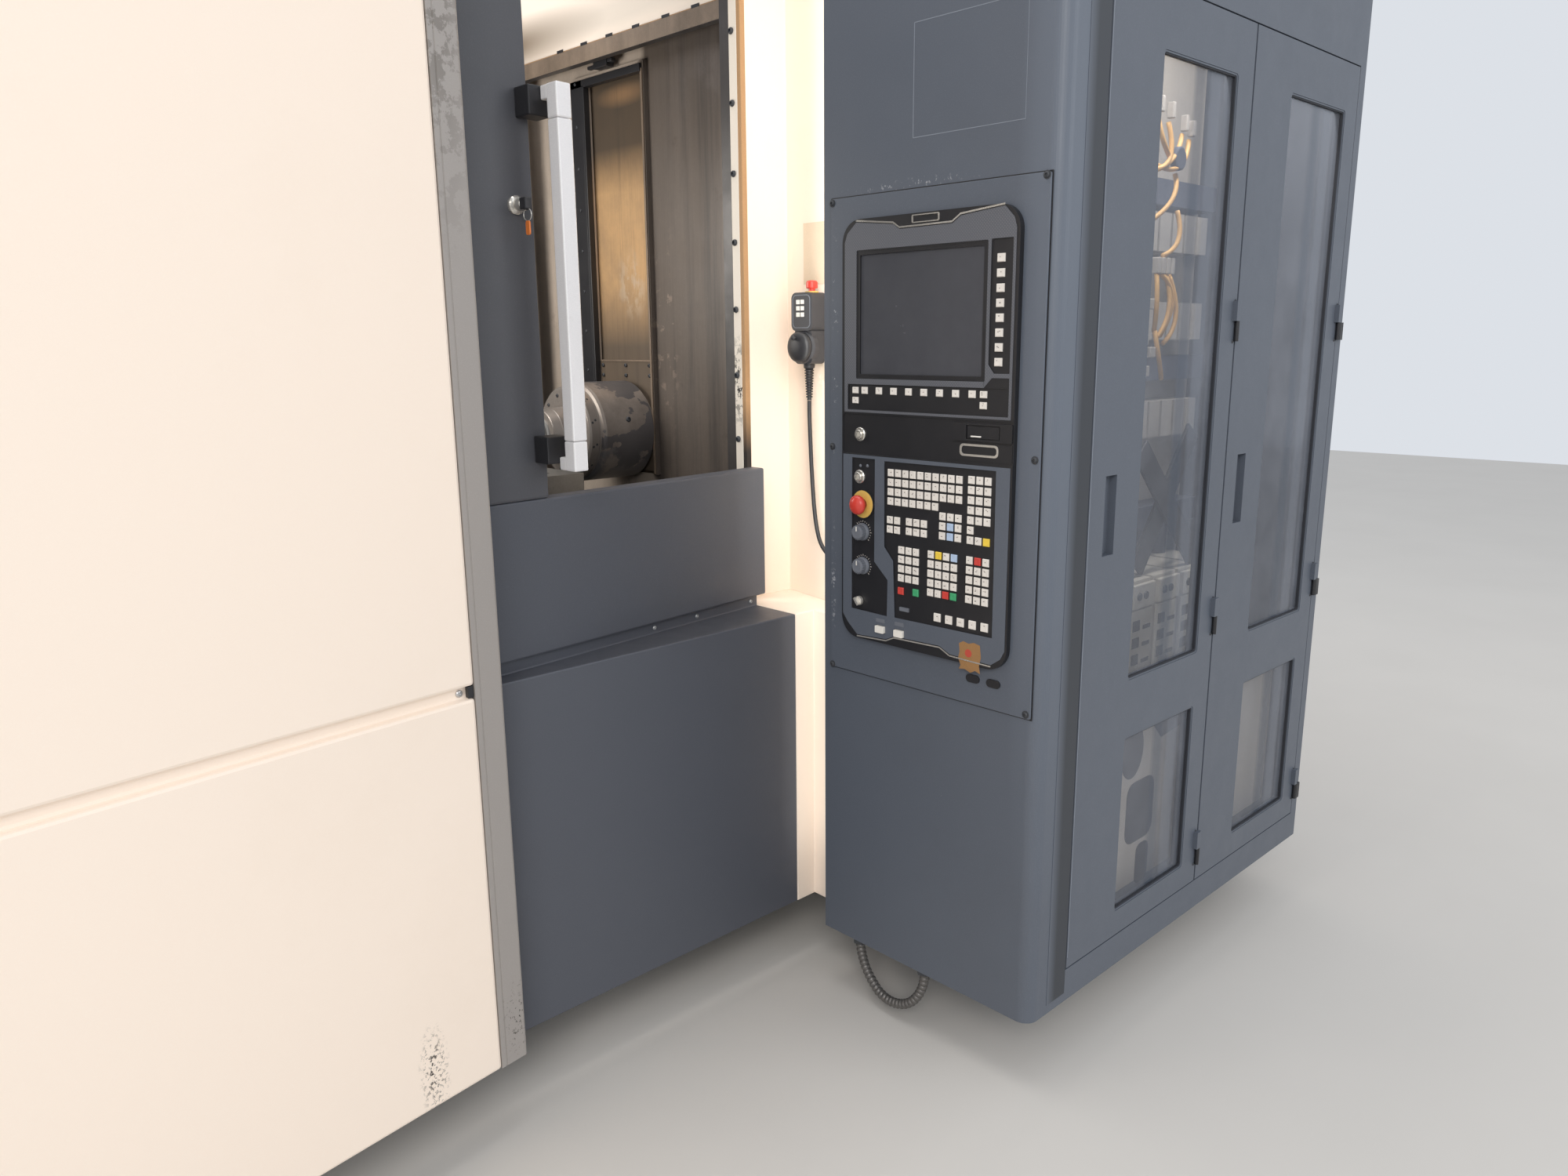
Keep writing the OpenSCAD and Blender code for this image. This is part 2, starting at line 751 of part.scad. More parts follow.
module control_plate() {
  color(blue_grey) place()
    on_face(plate_along, plate_z + plate_h / 2, 0)
      linear_extrude(plate_t) rounded_rect(plate_w, plate_h, 5);
}

bezel_along = 283.5;
bezel_z = 870;
display_along = 297.5;
display_z = 1533;

// A shallow field in the bezel's face, between two corners seen from the front
module field(a0, a1, z0, z1) {
  on_face((a0 + a1) / 2, (z0 + z1) / 2, field_out)
    linear_extrude(field_d + 1) rounded_rect(a1 - a0, z1 - z0, 6);
}

module control_bezel() {
  color(black) place()
    difference() {
      on_face(bezel_along, bezel_z + bezel_h / 2, plate_t)
        linear_extrude(bezel_t) rounded_rect(bezel_w, bezel_h, bezel_r);
      on_face(display_along, display_z, plate_t + 5)
        linear_extrude(bezel_t) square([display_w, display_h], center = true);
      field(85, 130, 1416, 1657);
      field(85, 479, 1348, 1397);
      field(70, 494, 1258, 1338);
      field(404, 467, 929, 1250);
      field(104, 379, 932, 1248);
      on_face(stop_along, stop_z, plate_t + 3) cylinder(h = bezel_t + 20, r = stem_r + seat);
      for (a = [start_along, halt_along])
        on_face(a, button_z, plate_t + 5)
          linear_extrude(bezel_t) square([button_w + 1, button_h + 1], center = true);
    }
  color("gold") place()
    on_face(stop_along, stop_z, field_out) difference() {
      cylinder(h = 5, r = 30);
      translate([0, 0, -1]) cylinder(h = 7, r = stem_r + seat);
    }
}

module display_screen() {
  color([0.2, 0.22, 0.22]) place()
    on_face(display_along, display_z, plate_t + 5)
      linear_extrude(3) square([display_w - 2, display_h - 2], center = true);
}

module key_block(along, z, cols, rows) {
  for (c = [0:cols - 1], r = [0:rows - 1])
    key_cap(along - c * key_pitch, z - r * key_pitch, key_size, key_size);
}

module key_cap(along, z, w, h) {
  on_face(along, z, field_out) linear_extrude(key_h + field_d) square([w, h], center = true);
}

module keypad() {
  color("whitesmoke") place() {
    key_block(362, 1226, 10, 3);
    key_block(362, 1226 - 3 * key_pitch, 7, 1);
    key_block(162, 1228, 3, 5);
    key_block(162, 1228 - 5 * key_pitch, 1, 1);
    key_block(162, 1228 - 6 * key_pitch, 3, 1);
    key_block(363, 1131, 2, 2);
    key_block(313, 1132, 3, 2);
    key_block(229, 1152, 3, 3);
    key_block(332, 1073, 3, 4);
    key_block(256, 1074, 4, 5);
    key_block(162, 1075, 3, 5);
    key_cap(332, 989, key_size, key_size);
    key_cap(293, 991, key_size, key_size);
    for (i = [0:4]) key_cap(237 - i * 28.5, 950, 17, 17);
    for (i = [0:7]) key_cap(109.5, 1625 - i * 25.8, 18, 13);
    for (i = [0:7]) key_cap(434 - i * 38.3, 1386, 20, 13);
    for (a = [459, 140], z = [1386, 1366]) key_cap(a, z, 18, 10);
  }
}

module emergency_stop() {
  color("firebrick") place()
    on_face(stop_along, stop_z, field_out) rotate_extrude()
      polygon([[0, -1], [stem_r, -1], [stem_r, 14], [stop_d / 2, 16], [stop_d / 2, 24],
               [stop_d / 2 - 2, 27], [14, 31], [0, 33]]);
}

knob_flutes = 18;

module override_knob(along, z) {
  on_face(along, z, field_out + seat) {
    cylinder(h = 6, r = knob_d / 2 + 3);
    difference() {
      cylinder(h = 20, r = knob_d / 2);
      for (i = [0:knob_flutes - 1])
        rotate(i * 360 / knob_flutes) translate([knob_d / 2 + 0.6, 0, 7])
          cylinder(h = 14, r = 1.6, $fn = 8);
    }
    translate([-1, 2, 19]) cube([2, knob_d / 2 - 5, 2.2]);
  }
}

module feed_knob() {
  color("gray") place() override_knob(438, 1098);
}

module rapid_knob() {
  color("gray") place() override_knob(437, 1027);
}

module rotary_switch(along, z) {
  on_face(along, z, field_out + seat) {
    cylinder(h = 8, r = 10);
    translate([-3, -9, 0]) cube([6, 18, 14]);
  }
}

module mode_switch() {
  color("silver") place() rotary_switch(445, 951);
}

module lock_switch() {
  color("silver") place() rotary_switch(446, 1298);
}

module memory_switch() {
  color("silver") place() rotary_switch(447, 1211.5);
}

module push_button(along, z) {
  on_face(along, z, face_out - 2)
    linear_extrude(8) square([button_w, button_h], center = true);
}

module start_button() {
  color("white") place() push_button(start_along, button_z);
}

module stop_button() {
  color("white") place() push_button(halt_along, button_z);
}

pendant_x = 152;
pendant_y = 70;

// X of the skewed side wall's surface at a given Y
function wall_line(y) =
  wall_x + (y - wall_front) * (corner_x - wall_x) / (jamb_y - wall_front);

module pendant_holder() {
  color("dimgray") place()
    translate([0, 0, 1470]) linear_extrude(90)
      polygon([[pendant_x + 24, pendant_y - 22], [wall_line(pendant_y - 22) - seat, pendant_y - 22],
               [wall_line(pendant_y + 22) - seat, pendant_y + 22],
               [pendant_x + 24, pendant_y + 22]]);
}

pendant_w = 68;
pendant_foot = 1440;
pendant_head = 1596;
boot_z = 1348;
boot_rings = 9;

module pendant_body() {
  color("darkslategray") place()
    difference() {
      union() {
        translate([pendant_x - seat / 2, pendant_y, pendant_foot])
          linear_extrude(pendant_head - pendant_foot)
            rounded_rect(48 - seat, pendant_w, 10);
        translate([pendant_x, pendant_y, boot_z]) {
          cylinder(h = pendant_foot - boot_z + 1, r1 = 7, r2 = 9, $fn = 24);
          for (i = [0:boot_rings - 1])
            translate([0, 0, 4 + i * 10]) cylinder(h = 5, r = 9 + i * 0.3, $fn = 24);
        }
      }
      rod_z(pendant_head - 12, pendant_head + 1, pendant_x, pendant_y - 10, 8 + seat);
    }
}

wheel_z = 1470;
wheel_r = 30;

module pendant_wheel() {
  color(black) place() {
    rod_x(pendant_x - 40, pendant_x - 24 - seat, pendant_y, wheel_z, wheel_r);
    rod_x(pendant_x - 56, pendant_x - 40, pendant_y, wheel_z + wheel_r - 9, 6);
  }
}

module pendant_knob() {
  color(black) place()
    rod_y(pendant_y + pendant_w / 2 + seat, pendant_y + pendant_w / 2 + 16, pendant_x, 1566, 9);
}

module pendant_stop() {
  color("red") place()
  {
    rod_z(1590, 1603, pendant_x, pendant_y - 10, 8);
    rod_z(1602, 1618, pendant_x, pendant_y - 10, 13);
  }
}

// A tube swept along a list of points
function sub_unit(a, b) = (b - a) / norm(b - a);
function tangent(p, i) = sub_unit(p[max(i - 1, 0)], p[min(i + 1, len(p) - 1)]);
function side_of(t) = cross(t, [0.31, 0.19, 0.93]) / norm(cross(t, [0.31, 0.19, 0.93]));

module tube(p, r, sides) {
  rings = len(p);
  points = [for (i = [0:rings - 1])
    let (t = tangent(p, i), s = side_of(t), n = cross(t, s))
      for (k = [0:sides - 1])
        p[i] + r * (cos(360 * k / sides) * s + sin(360 * k / sides) * n)];
  walls = [for (i = [0:rings - 2], k = [0:sides - 1])
    let (a = i * sides + k, b = i * sides + (k + 1) % sides)
      [a, b, b + sides, a + sides]];
  first = [for (k = [0:sides - 1]) sides - 1 - k];
  last = [for (k = [0:sides - 1]) (rings - 1) * sides + k];
  polyhedron(points, concat([first], walls, [last]));
}

pendant_route = [[152, 70, 1347.7], [152, 70, 1320], [151, 68, 1290], [149, 64, 1250],
  [146, 58, 1200], [142, 50, 1150], [137, 40, 1100], [132, 28, 1060], [126, 12, 1030],
  [121, -8, 1010], [117, -30, 1000], [114, -52, 1000], [112, -72, 1010], [112, -88, 1026],
  [112, -102, 1042], [112, -112, 1052], [112, -119, 1056], [112, -128.6, 1056]];

module pendant_cable() {
  color(black) place() tube(pendant_route, 5, 8);
}

conduit_route = [[24, -408, 149.7], [24, -408, 125], [22, -404, 100], [18, -394, 76],
  [14, -378, 56], [12, -356, 42], [12, -332, 35], [13, -308, 34], [15, -284, 40],
  [18, -262, 54], [20, -242, 74], [22, -228, 98], [22, -221, 125], [22, -221, 149.7]];

module conduit_loop() {
  color("dimgray") place() tube(conduit_route, 11, 10);
}

pane_x = -820;
pane_z = 1420;

module work_door() {
  color(dark_grey) place() difference() {
    front_prism(-door_x - door_w, -door_x, door_depth, door_depth + door_t, door_bottom, door_top);
    front_prism(pane_x - pane_w, pane_x, door_depth - 1, door_depth + door_t + 1, pane_z,
                pane_z + pane_h);
  }
}

module door_glass() {
  color([0.7, 0.75, 0.78, 0.35]) place()
    front_prism(pane_x - pane_w + seat, pane_x - seat, door_depth + 8, door_depth + 24,
                pane_z + seat, pane_z + pane_h - seat);
}

bracket_h = 50;
bracket_x = [-596, -548];
bracket_out = 46;
arm_t = 24;

module door_handle() {
  color("silver") place() {
    front_prism(-grip_x - grip_w, -grip_x, door_depth - grip_gap - grip_w,
                door_depth - grip_gap, grip_z, grip_z + grip_h);
    for (z = [grip_z, grip_z + grip_h - arm_t])
      front_prism(-grip_x - grip_w, -grip_x, door_depth - grip_gap, door_depth - bracket_out,
                  z, z + arm_t);
    for (z = [grip_z + arm_t - 12, grip_z + grip_h - bracket_h])
      front_prism(bracket_x[0], bracket_x[1], door_depth - bracket_out, door_depth - seat,
                  z, z + bracket_h);
  }
}

lock_x = -607;
lock_z = 1723;
lock_r = 14;

module door_lock() {
  color("silver") place()
    translate([lock_x, front_y(lock_x, door_depth - seat), lock_z]) rotate([90, 0, front_turn]) {
      cylinder(h = 8, r = lock_r + 3);
      cylinder(h = 26, r = lock_r - 3);
      translate([-1, -9, 26]) cube([2, 18, 14]);
    }
}

column_half = 300;
upright_w = 124;
rail_offset = 238;
rail_half = 20;
block_y = [-266, 134];
block_len = 120;
bracket_w = 40;
column_y = [spindle_y - column_half, spindle_y + column_half];
column_x = [330, 1150];
column_base_z = 760;
column_top = housing_h - 200;
head_rail_x = 290;

module column() {
  color(iron) place() {
    difference() {
      union() {
        box(column_x[0], column_x[1], column_y[0], column_y[1], column_base_z, 900);
        for (y = [column_y[0], column_y[1] - upright_w])
          box(column_x[0], 900, y, y + upright_w, 900, column_top);
        box(column_x[0], 900, column_y[0], column_y[1], column_top - 150, column_top);
        box(900, column_x[1], column_y[0], column_y[1], 900, 1200);
        for (x = column_rail_x, y = block_y)
          box(x - 60, x + 60, spindle_y + y, spindle_y + y + block_len,
              column_bed_z + 8, column_base_z);
      }
      for (x = column_rail_x)
        box(x - rail_w / 2 - seat, x + rail_w / 2 + seat, column_y[0] - 1, column_y[1] + 1,
            column_bed_z - 1, column_bed_z + rail_h + seat);
    }
    for (s = [-1, 1])
      box(head_rail_x, column_x[0], spindle_y + s * rail_offset - rail_half,
          spindle_y + s * rail_offset + rail_half, 950, column_top - 170);
    for (y = [column_y[0], column_y[1] - bracket_w], z = [905, column_top - 210])
      box(shutter_x + 4, column_x[0], y, y + bracket_w, z, z + 40);
  }
}

shutter_x = 218;
shutter_y = [wall_front + cover_t + column_travel + 9, 1480];
slot_y = [spindle_y - 122, spindle_y + 134];
slot_z = [spindle_z - 124, chamber_h - 219];
frame_y = [spindle_y - 137, spindle_y + 200];
frame_head = chamber_h - 195;

module column_shutter() {
  color(steel) place() {
    difference() {
      box(shutter_x, shutter_x + 4, shutter_y[0], shutter_y[1], 900, header_z + 34);
      box(shutter_x - 1, shutter_x + 5, slot_y[0], slot_y[1], slot_z[0], slot_z[1]);
    }
    difference() {
      box(shutter_x - 14, shutter_x, frame_y[0], frame_y[1], slot_z[0], frame_head);
      box(shutter_x - 15, shutter_x + 1, slot_y[0], slot_y[1], slot_z[0] - 1, slot_z[1]);
    }
  }
}

flange_holes = 12;
flange_x = -3;
head_half = 280;

module spindle_head() {
  color("lightgray") place() {
    difference() {
      union() {
        translate([0, spindle_y, spindle_z]) rotate([0, 90, 0]) rotate_extrude($fn = 96)
          polygon([[45, -nose_x + 4], [64, -nose_x + 4], [68, -nose_x + 30], [71, flange_x],
                   [120, flange_x], [125, flange_x + 5], [125, 30], [127, 33], [134, 36],
                   [136, 44], [136, 199], [120, 202], [120, 240], [45, 240]]);
        box(236, 284, spindle_y - head_half, spindle_y + head_half,
            spindle_z - 200, spindle_z + 200);
      }
      rod_x(230, 290, spindle_y, spindle_z, 45);
      for (i = [0:flange_holes - 1])
        translate([0, spindle_y, spindle_z]) rotate([i * 360 / flange_holes, 0, 0])
          translate([flange_x - 1, 0, 104]) rotate([0, 90, 0]) cylinder(h = 12, r = 5, $fn = 12);
    }
    for (y = [spindle_y - rail_offset, spindle_y + rail_offset])
      difference() {
        box(284, 320, y - 36, y + 36, spindle_z - 180, spindle_z + 180);
        box(head_rail_x - seat, 321, y - rail_half - seat, y + rail_half + seat,
            spindle_z - 181, spindle_z + 181);
      }
  }
}

module spindle() {
  color("silver") place()
    difference() {
      rod_x(-nose_x, 420, spindle_y, spindle_z, 44.7);
      translate([-nose_x, spindle_y, spindle_z]) rotate([0, 90, 0]) rotate_extrude()
        polygon([[0, -1], [34.925, -1], [34.925, 0], [20, 102], [12, 102], [12, 160], [0, 160]]);
    }
}

cover_slab = [226, 230];

apron_plate_z = [slot_z[0] + 8, 1434];

module head_cover() {
  color(steel) place() {
    difference() {
      union() {
        box(cover_slab[0], cover_slab[1], slot_y[0] - 12, slot_y[1] + 12,
            slot_z[0] - head_travel - 20, slot_z[1] + 4);
        box(cover_slab[0] - 10, cover_slab[0], slot_y[0] + 3, slot_y[1] - 3,
            apron_plate_z[0], apron_plate_z[1]);
      }
      rod_x(cover_slab[0] - 11, cover_slab[1] + 1, spindle_y, spindle_z, 120 + seat);
    }
    for (y = [slot_y[0] + 16, (slot_y[0] + slot_y[1]) / 2, slot_y[1] - 16], z = [1391, 1419])
      rod_x(cover_slab[0] - 13, cover_slab[0] - 10, y, z, 5, $fn = 12);
  }
}

saddle_z = bed_z + rail_h + 20;
rotary_z = 900;

module table_base() {
  color(iron) place() {
    difference() {
      union() {
        box(-pallet_x - 330, -pallet_x + 330, spindle_y - 350, spindle_y + 350,
            saddle_z, rotary_z);
        for (s = [-1, 1], x = [-pallet_x - 300, -pallet_x + 180])
          box(x, x + 120, spindle_y + s * rail_gauge / 2 - 50,
              spindle_y + s * rail_gauge / 2 + 50, bed_z + 8, saddle_z);
      }
      for (s = [-1, 1])
        box(-pallet_x - 331, -pallet_x + 331, spindle_y + s * rail_gauge / 2 - rail_w / 2 - seat,
            spindle_y + s * rail_gauge / 2 + rail_w / 2 + seat, bed_z - 1,
            bed_z + rail_h + seat);
    }
  }
}

module rotary_table() {
  color(iron) place()
    rod_z(rotary_z + seat, pallet_z - pallet_t, -pallet_x, spindle_y, rotary_d / 2);
}

module pallet() {
  color(steel) place()
    difference() {
      box(-pallet_x - pallet_s / 2, -pallet_x + pallet_s / 2, spindle_y - pallet_s / 2,
          spindle_y + pallet_s / 2, pallet_z - pallet_t, pallet_z);
      for (i = [-2:2], j = [-2:2])
        rod_z(pallet_z - 40, pallet_z + 1, -pallet_x + i * hole_pitch,
              spindle_y + j * hole_pitch, hole_r);
      rod_z(pallet_z - 30, pallet_z + 1, -pallet_x, spindle_y, 25);
    }
}

module tool_magazine() {
  color("gray") place()
    difference() {
      union() {
        rod_x(magazine_x - 20, magazine_x + 20, magazine_y, magazine_z, magazine_disc_r);
        for (i = [0:pots - 1])
          translate([0, magazine_y + pot_ring * cos(360 * i / pots),
                     magazine_z + pot_ring * sin(360 * i / pots)])
            rod_x(magazine_x - 100, magazine_x + 40, 0, 0, pot_r);
      }
      rod_x(magazine_x - 30, magazine_x + 30, magazine_y, magazine_z, magazine_pin_r + seat);
      for (i = [0:pots - 1])
        translate([0, magazine_y + pot_ring * cos(360 * i / pots),
                   magazine_z + pot_ring * sin(360 * i / pots)])
          rod_x(magazine_x - 101, magazine_x - 10, 0, 0, pot_r - 7);
    }
}

bed();
levelling_feet();
axis_drives();
enclosure_frame();
lower_panel();
ledge();
apron();
left_covers();
profile_strip();
door_jamb();
door_seals();
door_track();
spindle_wall();
chamber_liner();
roof();
left_end_cover();
rear_cover();
right_end_cover();
cabinet_shell();
cabinet_hinges();
mounting_plate();
switchgear();
drive_modules();
wire_ducts();
control_plate();
control_bezel();
display_screen();
keypad();
pendant_holder();
pendant_body();
pendant_cable();
conduit_loop();
work_door();
door_glass();
door_handle();
door_lock();
cabinet_door_left();
cabinet_glass_left();
cabinet_door_right();
cabinet_glass_right();
column();
column_shutter();
spindle_head();
head_cover();
spindle();
table_base();
rotary_table();
pallet();
tool_magazine();
emergency_stop();
feed_knob();
rapid_knob();
mode_switch();
lock_switch();
memory_switch();
start_button();
stop_button();
pendant_wheel();
pendant_knob();
pendant_stop();
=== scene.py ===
"""Looks of a CNC machining center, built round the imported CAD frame."""
import json
import random
from math import cos, hypot, pi, radians, sin, tan

import bmesh
import bpy
from mathutils import Matrix, Vector
from mathutils.geometry import tessellate_polygon

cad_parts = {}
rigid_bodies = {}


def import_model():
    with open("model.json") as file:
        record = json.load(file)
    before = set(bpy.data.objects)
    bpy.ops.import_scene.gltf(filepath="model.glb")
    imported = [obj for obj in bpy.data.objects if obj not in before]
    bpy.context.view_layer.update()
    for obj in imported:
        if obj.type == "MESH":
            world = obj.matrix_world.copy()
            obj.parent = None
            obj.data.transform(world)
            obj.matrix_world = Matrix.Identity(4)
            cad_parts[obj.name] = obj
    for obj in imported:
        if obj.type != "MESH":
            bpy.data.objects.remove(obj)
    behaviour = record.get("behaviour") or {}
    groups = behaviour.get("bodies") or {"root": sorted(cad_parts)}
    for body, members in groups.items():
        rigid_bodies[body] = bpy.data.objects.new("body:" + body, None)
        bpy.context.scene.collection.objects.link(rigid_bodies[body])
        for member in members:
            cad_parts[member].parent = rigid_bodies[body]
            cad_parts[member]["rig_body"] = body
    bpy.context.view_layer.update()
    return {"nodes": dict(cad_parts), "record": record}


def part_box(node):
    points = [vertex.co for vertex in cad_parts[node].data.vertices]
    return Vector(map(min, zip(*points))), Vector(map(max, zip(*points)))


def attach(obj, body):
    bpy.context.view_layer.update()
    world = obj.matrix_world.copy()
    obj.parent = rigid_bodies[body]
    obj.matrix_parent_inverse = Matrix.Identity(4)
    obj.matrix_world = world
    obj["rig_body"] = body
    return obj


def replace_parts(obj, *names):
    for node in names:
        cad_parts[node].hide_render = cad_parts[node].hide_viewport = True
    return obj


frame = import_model()
random.seed(7)

# The drawing datum of the CAD source: the control panel's face, the lower cover's face, the floor
DATUM = Vector((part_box("cabinet_shell")[0].x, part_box("lower_panel")[0].y, 0.0))
FRONT_TURN = radians(6.8)       # how far the front covers are turned from the row
COVER_START = (-810, -72)            # a drawing X and Y in the plane of the front covers
CABINET_FRONT = 692                  # from the datum to the cabinet's front, in millimetres
TOWARDS_OPERATOR = (-1, 0, 0)


def at(x, y, z):
    """A point given in millimetres from the drawing datum, in metres in the row frame."""
    return DATUM + Vector((x, y, z)) / 1000


def side_point(y, z, x):
    return at(x, y, z)


def panel_place(along, z, out):
    """Drawing coordinates on the control panel: from the cabinet's near edge, height, and out."""
    return -out, along - CABINET_FRONT, z


def panel_point(along, z, out):
    return at(*panel_place(along, z, out))


def cabinet_point(x, z, out):
    return at(x, -CABINET_FRONT - out, z)


def cover_place(x, out, z):
    """Drawing coordinates a distance out from the front covers' plane."""
    y = COVER_START[1] + (x - COVER_START[0]) * tan(FRONT_TURN)
    return x, y - out / cos(FRONT_TURN), z


def cover_point(x, out, z):
    return at(*cover_place(x, out, z))


def add_object(name, data):
    made = bpy.data.objects.new(name, data)
    bpy.context.scene.collection.objects.link(made)
    return made


def turns(count, step, start=0):
    """Angles in radians, from a start and a step in degrees."""
    return [radians(start + step * k) for k in range(count)]


# Camera, solved from the photograph's vanishing lines
PHOTO_WIDTH = 2000.0
SENSOR_WIDTH = 36.0
FOCAL_PIXELS = 1426.2
CENTRE_U = 1016.5
CAMERA_YAW = radians(46.04)
CAMERA_PITCH = radians(12.507)
CAMERA_ROLL = radians(-0.435)
CAMERA_AT = at(-1698, -1802, 1486)


def make_camera():
    data = bpy.data.cameras.new("photo_camera")
    data.sensor_width = SENSOR_WIDTH
    data.lens = FOCAL_PIXELS / PHOTO_WIDTH * SENSOR_WIDTH
    data.shift_x = -(CENTRE_U - PHOTO_WIDTH / 2) / PHOTO_WIDTH
    data.clip_end = 60
    camera = add_object("photo_camera", data)
    ahead = Vector((cos(CAMERA_YAW) * cos(CAMERA_PITCH),
                    sin(CAMERA_YAW) * cos(CAMERA_PITCH), -sin(CAMERA_PITCH)))
    side = Vector((sin(CAMERA_YAW), -cos(CAMERA_YAW), 0))
    up = side.cross(ahead)
    right = side * cos(CAMERA_ROLL) + up * sin(CAMERA_ROLL)
    top = up * cos(CAMERA_ROLL) - side * sin(CAMERA_ROLL)
    turn = Matrix((right, top, -ahead)).transposed().to_4x4()
    camera.matrix_world = Matrix.Translation(CAMERA_AT) @ turn
    bpy.context.scene.camera = camera


# Node materials

class Shade:
    """A node material built up step by step on object coordinates."""

    def __init__(self, name, rough=0.5, metal=0.0):
        self.material = bpy.data.materials.new(name)
        self.material.use_nodes = True
        self.tree = self.material.node_tree
        self.shader = self.tree.nodes["Principled BSDF"]
        self.put("Roughness", rough)
        self.put("Metallic", metal)
        self.place = self.add("TexCoord").outputs["Object"]
        self.height = None

    def put(self, key, value, node=None):
        """Gives a node's input, the shader's if none is named, a value or a link."""
        target = (node or self.shader).inputs[key]
        if isinstance(value, bpy.types.NodeSocket):
            self.tree.links.new(value, target)
        elif target.type == "RGBA":
            target.default_value = (*value, 1.0)
        else:
            target.default_value = value

    def add(self, kind, inputs=None, **settings):
        node = self.tree.nodes.new("ShaderNode" + kind)
        for key, value in settings.items():
            setattr(node, key, value)
        for key, value in (inputs or {}).items():
            self.put(key, value, node)
        return node

    def mapped(self, **inputs):
        """Object coordinates scaled or turned, such as for grain along one direction."""
        return self.add("Mapping", {"Vector": self.place, **inputs}).outputs["Vector"]

    def noise(self, scale, detail=4.0, rough=0.55, stretch=(1, 1, 1)):
        return self.add("TexNoise", {
            "Scale": scale, "Detail": detail, "Roughness": rough,
            "Vector": self.mapped(Scale=stretch)}).outputs["Fac"]

    def range(self, value, low, high, end="From"):
        """A value mapped from a span to 0..1, or with end "To" from 0..1 to a span."""
        return self.add("MapRange", {
            "Value": value, end + " Min": low, end + " Max": high}).outputs["Result"]

    def vector(self, operation, a, b):
        key = "Scale" if operation == "SCALE" else 1
        return self.add("VectorMath", {0: a, key: b},
                        operation=operation).outputs["Vector"]

    def near(self, place, reach):
        """1 around a drawing point, fading to 0 at the reach in millimetres along each axis."""
        away = self.vector("SUBTRACT", self.place, tuple(at(*place)))
        scaled = self.vector("MULTIPLY", away, tuple(1000 / r for r in reach))
        size = self.add("VectorMath", {0: scaled}, operation="LENGTH")
        return self.range(size.outputs["Value"], 1.0, 0.2)

    def rises(self, low, high, axis=2):
        """0 to 1 between two drawing coordinates along an axis."""
        split = self.add("SeparateXYZ", {0: self.place})
        return self.range(split.outputs[axis], *(at(v, v, v)[axis] for v in (low, high)))

    def times(self, a, b):
        return self.add("Math", {0: a, 1: b}, operation="MULTIPLY").outputs[0]

    def times_add(self, a, b, c):
        return self.add("Math", {0: a, 1: b, 2: c}, operation="MULTIPLY_ADD").outputs[0]

    def mix(self, factor, a, b):
        """Colours a and b mixed by a factor; each may be a colour or a socket."""
        return self.add("Mix", {0: factor, 6: a, 7: b}, data_type="RGBA").outputs[2]

    def over(self, base, where, amount, colour):
        """A colour laid on a base where a mask is, at a share of the mask."""
        return self.mix(self.times(where, amount), base, colour)

    def tones(self, factor, colour, low, high):
        return self.mix(factor, shade_of(colour, low), shade_of(colour, high))

    def scuff_and_painted_light(self, base, place, reach, colour, scale=60, cover=0.5):
        """A ragged local mark of another colour over a base colour: scuffs and stains, and also
        painted shade and painted highlights.
        """
        ragged = self.range(self.noise(scale, 6.0, 0.7), 1 - cover, 1.04 - cover)
        return self.over(base, self.near(place, reach), ragged, colour)

    def vary(self, factor, low, high):
        """Lets the roughness run from low to high with a factor."""
        self.put("Roughness", self.range(factor, low, high, "To"))

    def bump(self, value, strength, distance=0.0005):
        inputs = {"Strength": strength, "Distance": distance, "Height": value}
        if self.height is not None:
            inputs["Normal"] = self.height
        self.height = self.add("Bump", inputs).outputs["Normal"]
        self.put("Normal", self.height)


def srgb(r, g, b):
    """A colour read from the photograph, 0 to 255, as linear values."""
    return tuple((c / 255 / 12.92) if c <= 10 else (((c / 255) + 0.055) / 1.055) ** 2.4
                 for c in (r, g, b))


def shade_of(colour, factor):
    return tuple(min(1.0, c * factor) for c in colour)


DIRT = (0.05, 0.045, 0.04)


def painted(name, colour, rough=0.42, mottle=0.06, dirt=0.0, dirt_colour=DIRT, speck=0.35,
            marks=(), wear=1.0):
    """Powder-coated sheet: mottling, orange peel, pale specks, dirt, rub marks, local scuffs, and
    painted shade and highlights given as marks.
    """
    s = Shade(name, rough)
    base = s.tones(s.noise(1.3, 5.0, 0.6), colour, 1 - mottle, 1 + mottle)
    fine = s.range(s.noise(420, 3.0, 0.7), 0.52, 0.66)
    base = s.over(base, fine, speck, shade_of(colour, 1.35))
    pits = s.range(s.noise(520, 2.0, 0.6), 0.60, 0.72)
    base = s.over(base, pits, speck * 0.8, shade_of(colour, 0.72))
    if dirt:
        base = s.over(base, s.range(s.noise(2.2, 8.0, 0.7), 0.54, 0.78), dirt, dirt_colour)
    if wear:
        streaks = s.range(s.noise(9, 6.0, 0.75, (1, 1, 0.12)), 0.62, 0.80)
        base = s.over(base, streaks, 0.2 * wear, shade_of(colour, 1.25))
    for mark in marks:
        base = s.scuff_and_painted_light(base, *mark)
    s.put("Base Color", base)
    s.vary(s.noise(18, 5.0), rough - 0.08, rough + 0.12)
    s.bump(s.noise(420, 2.0), 0.10, 0.0004)
    return s.material


def post_shade(name, colour):
    """The corner post's paint, darkened towards the leaf by painted shade."""
    s = Shade(name, 0.46)
    base = s.tones(s.noise(1.3, 5.0, 0.6), colour, 0.96, 1.04)
    # painted shade: the grey darkens from X 64 to X 90
    s.put("Base Color", s.mix(s.rises(64, 90, 0), base, shade_of(colour, 0.34)))
    s.bump(s.noise(420, 2.0), 0.10, 0.0004)
    return s.material


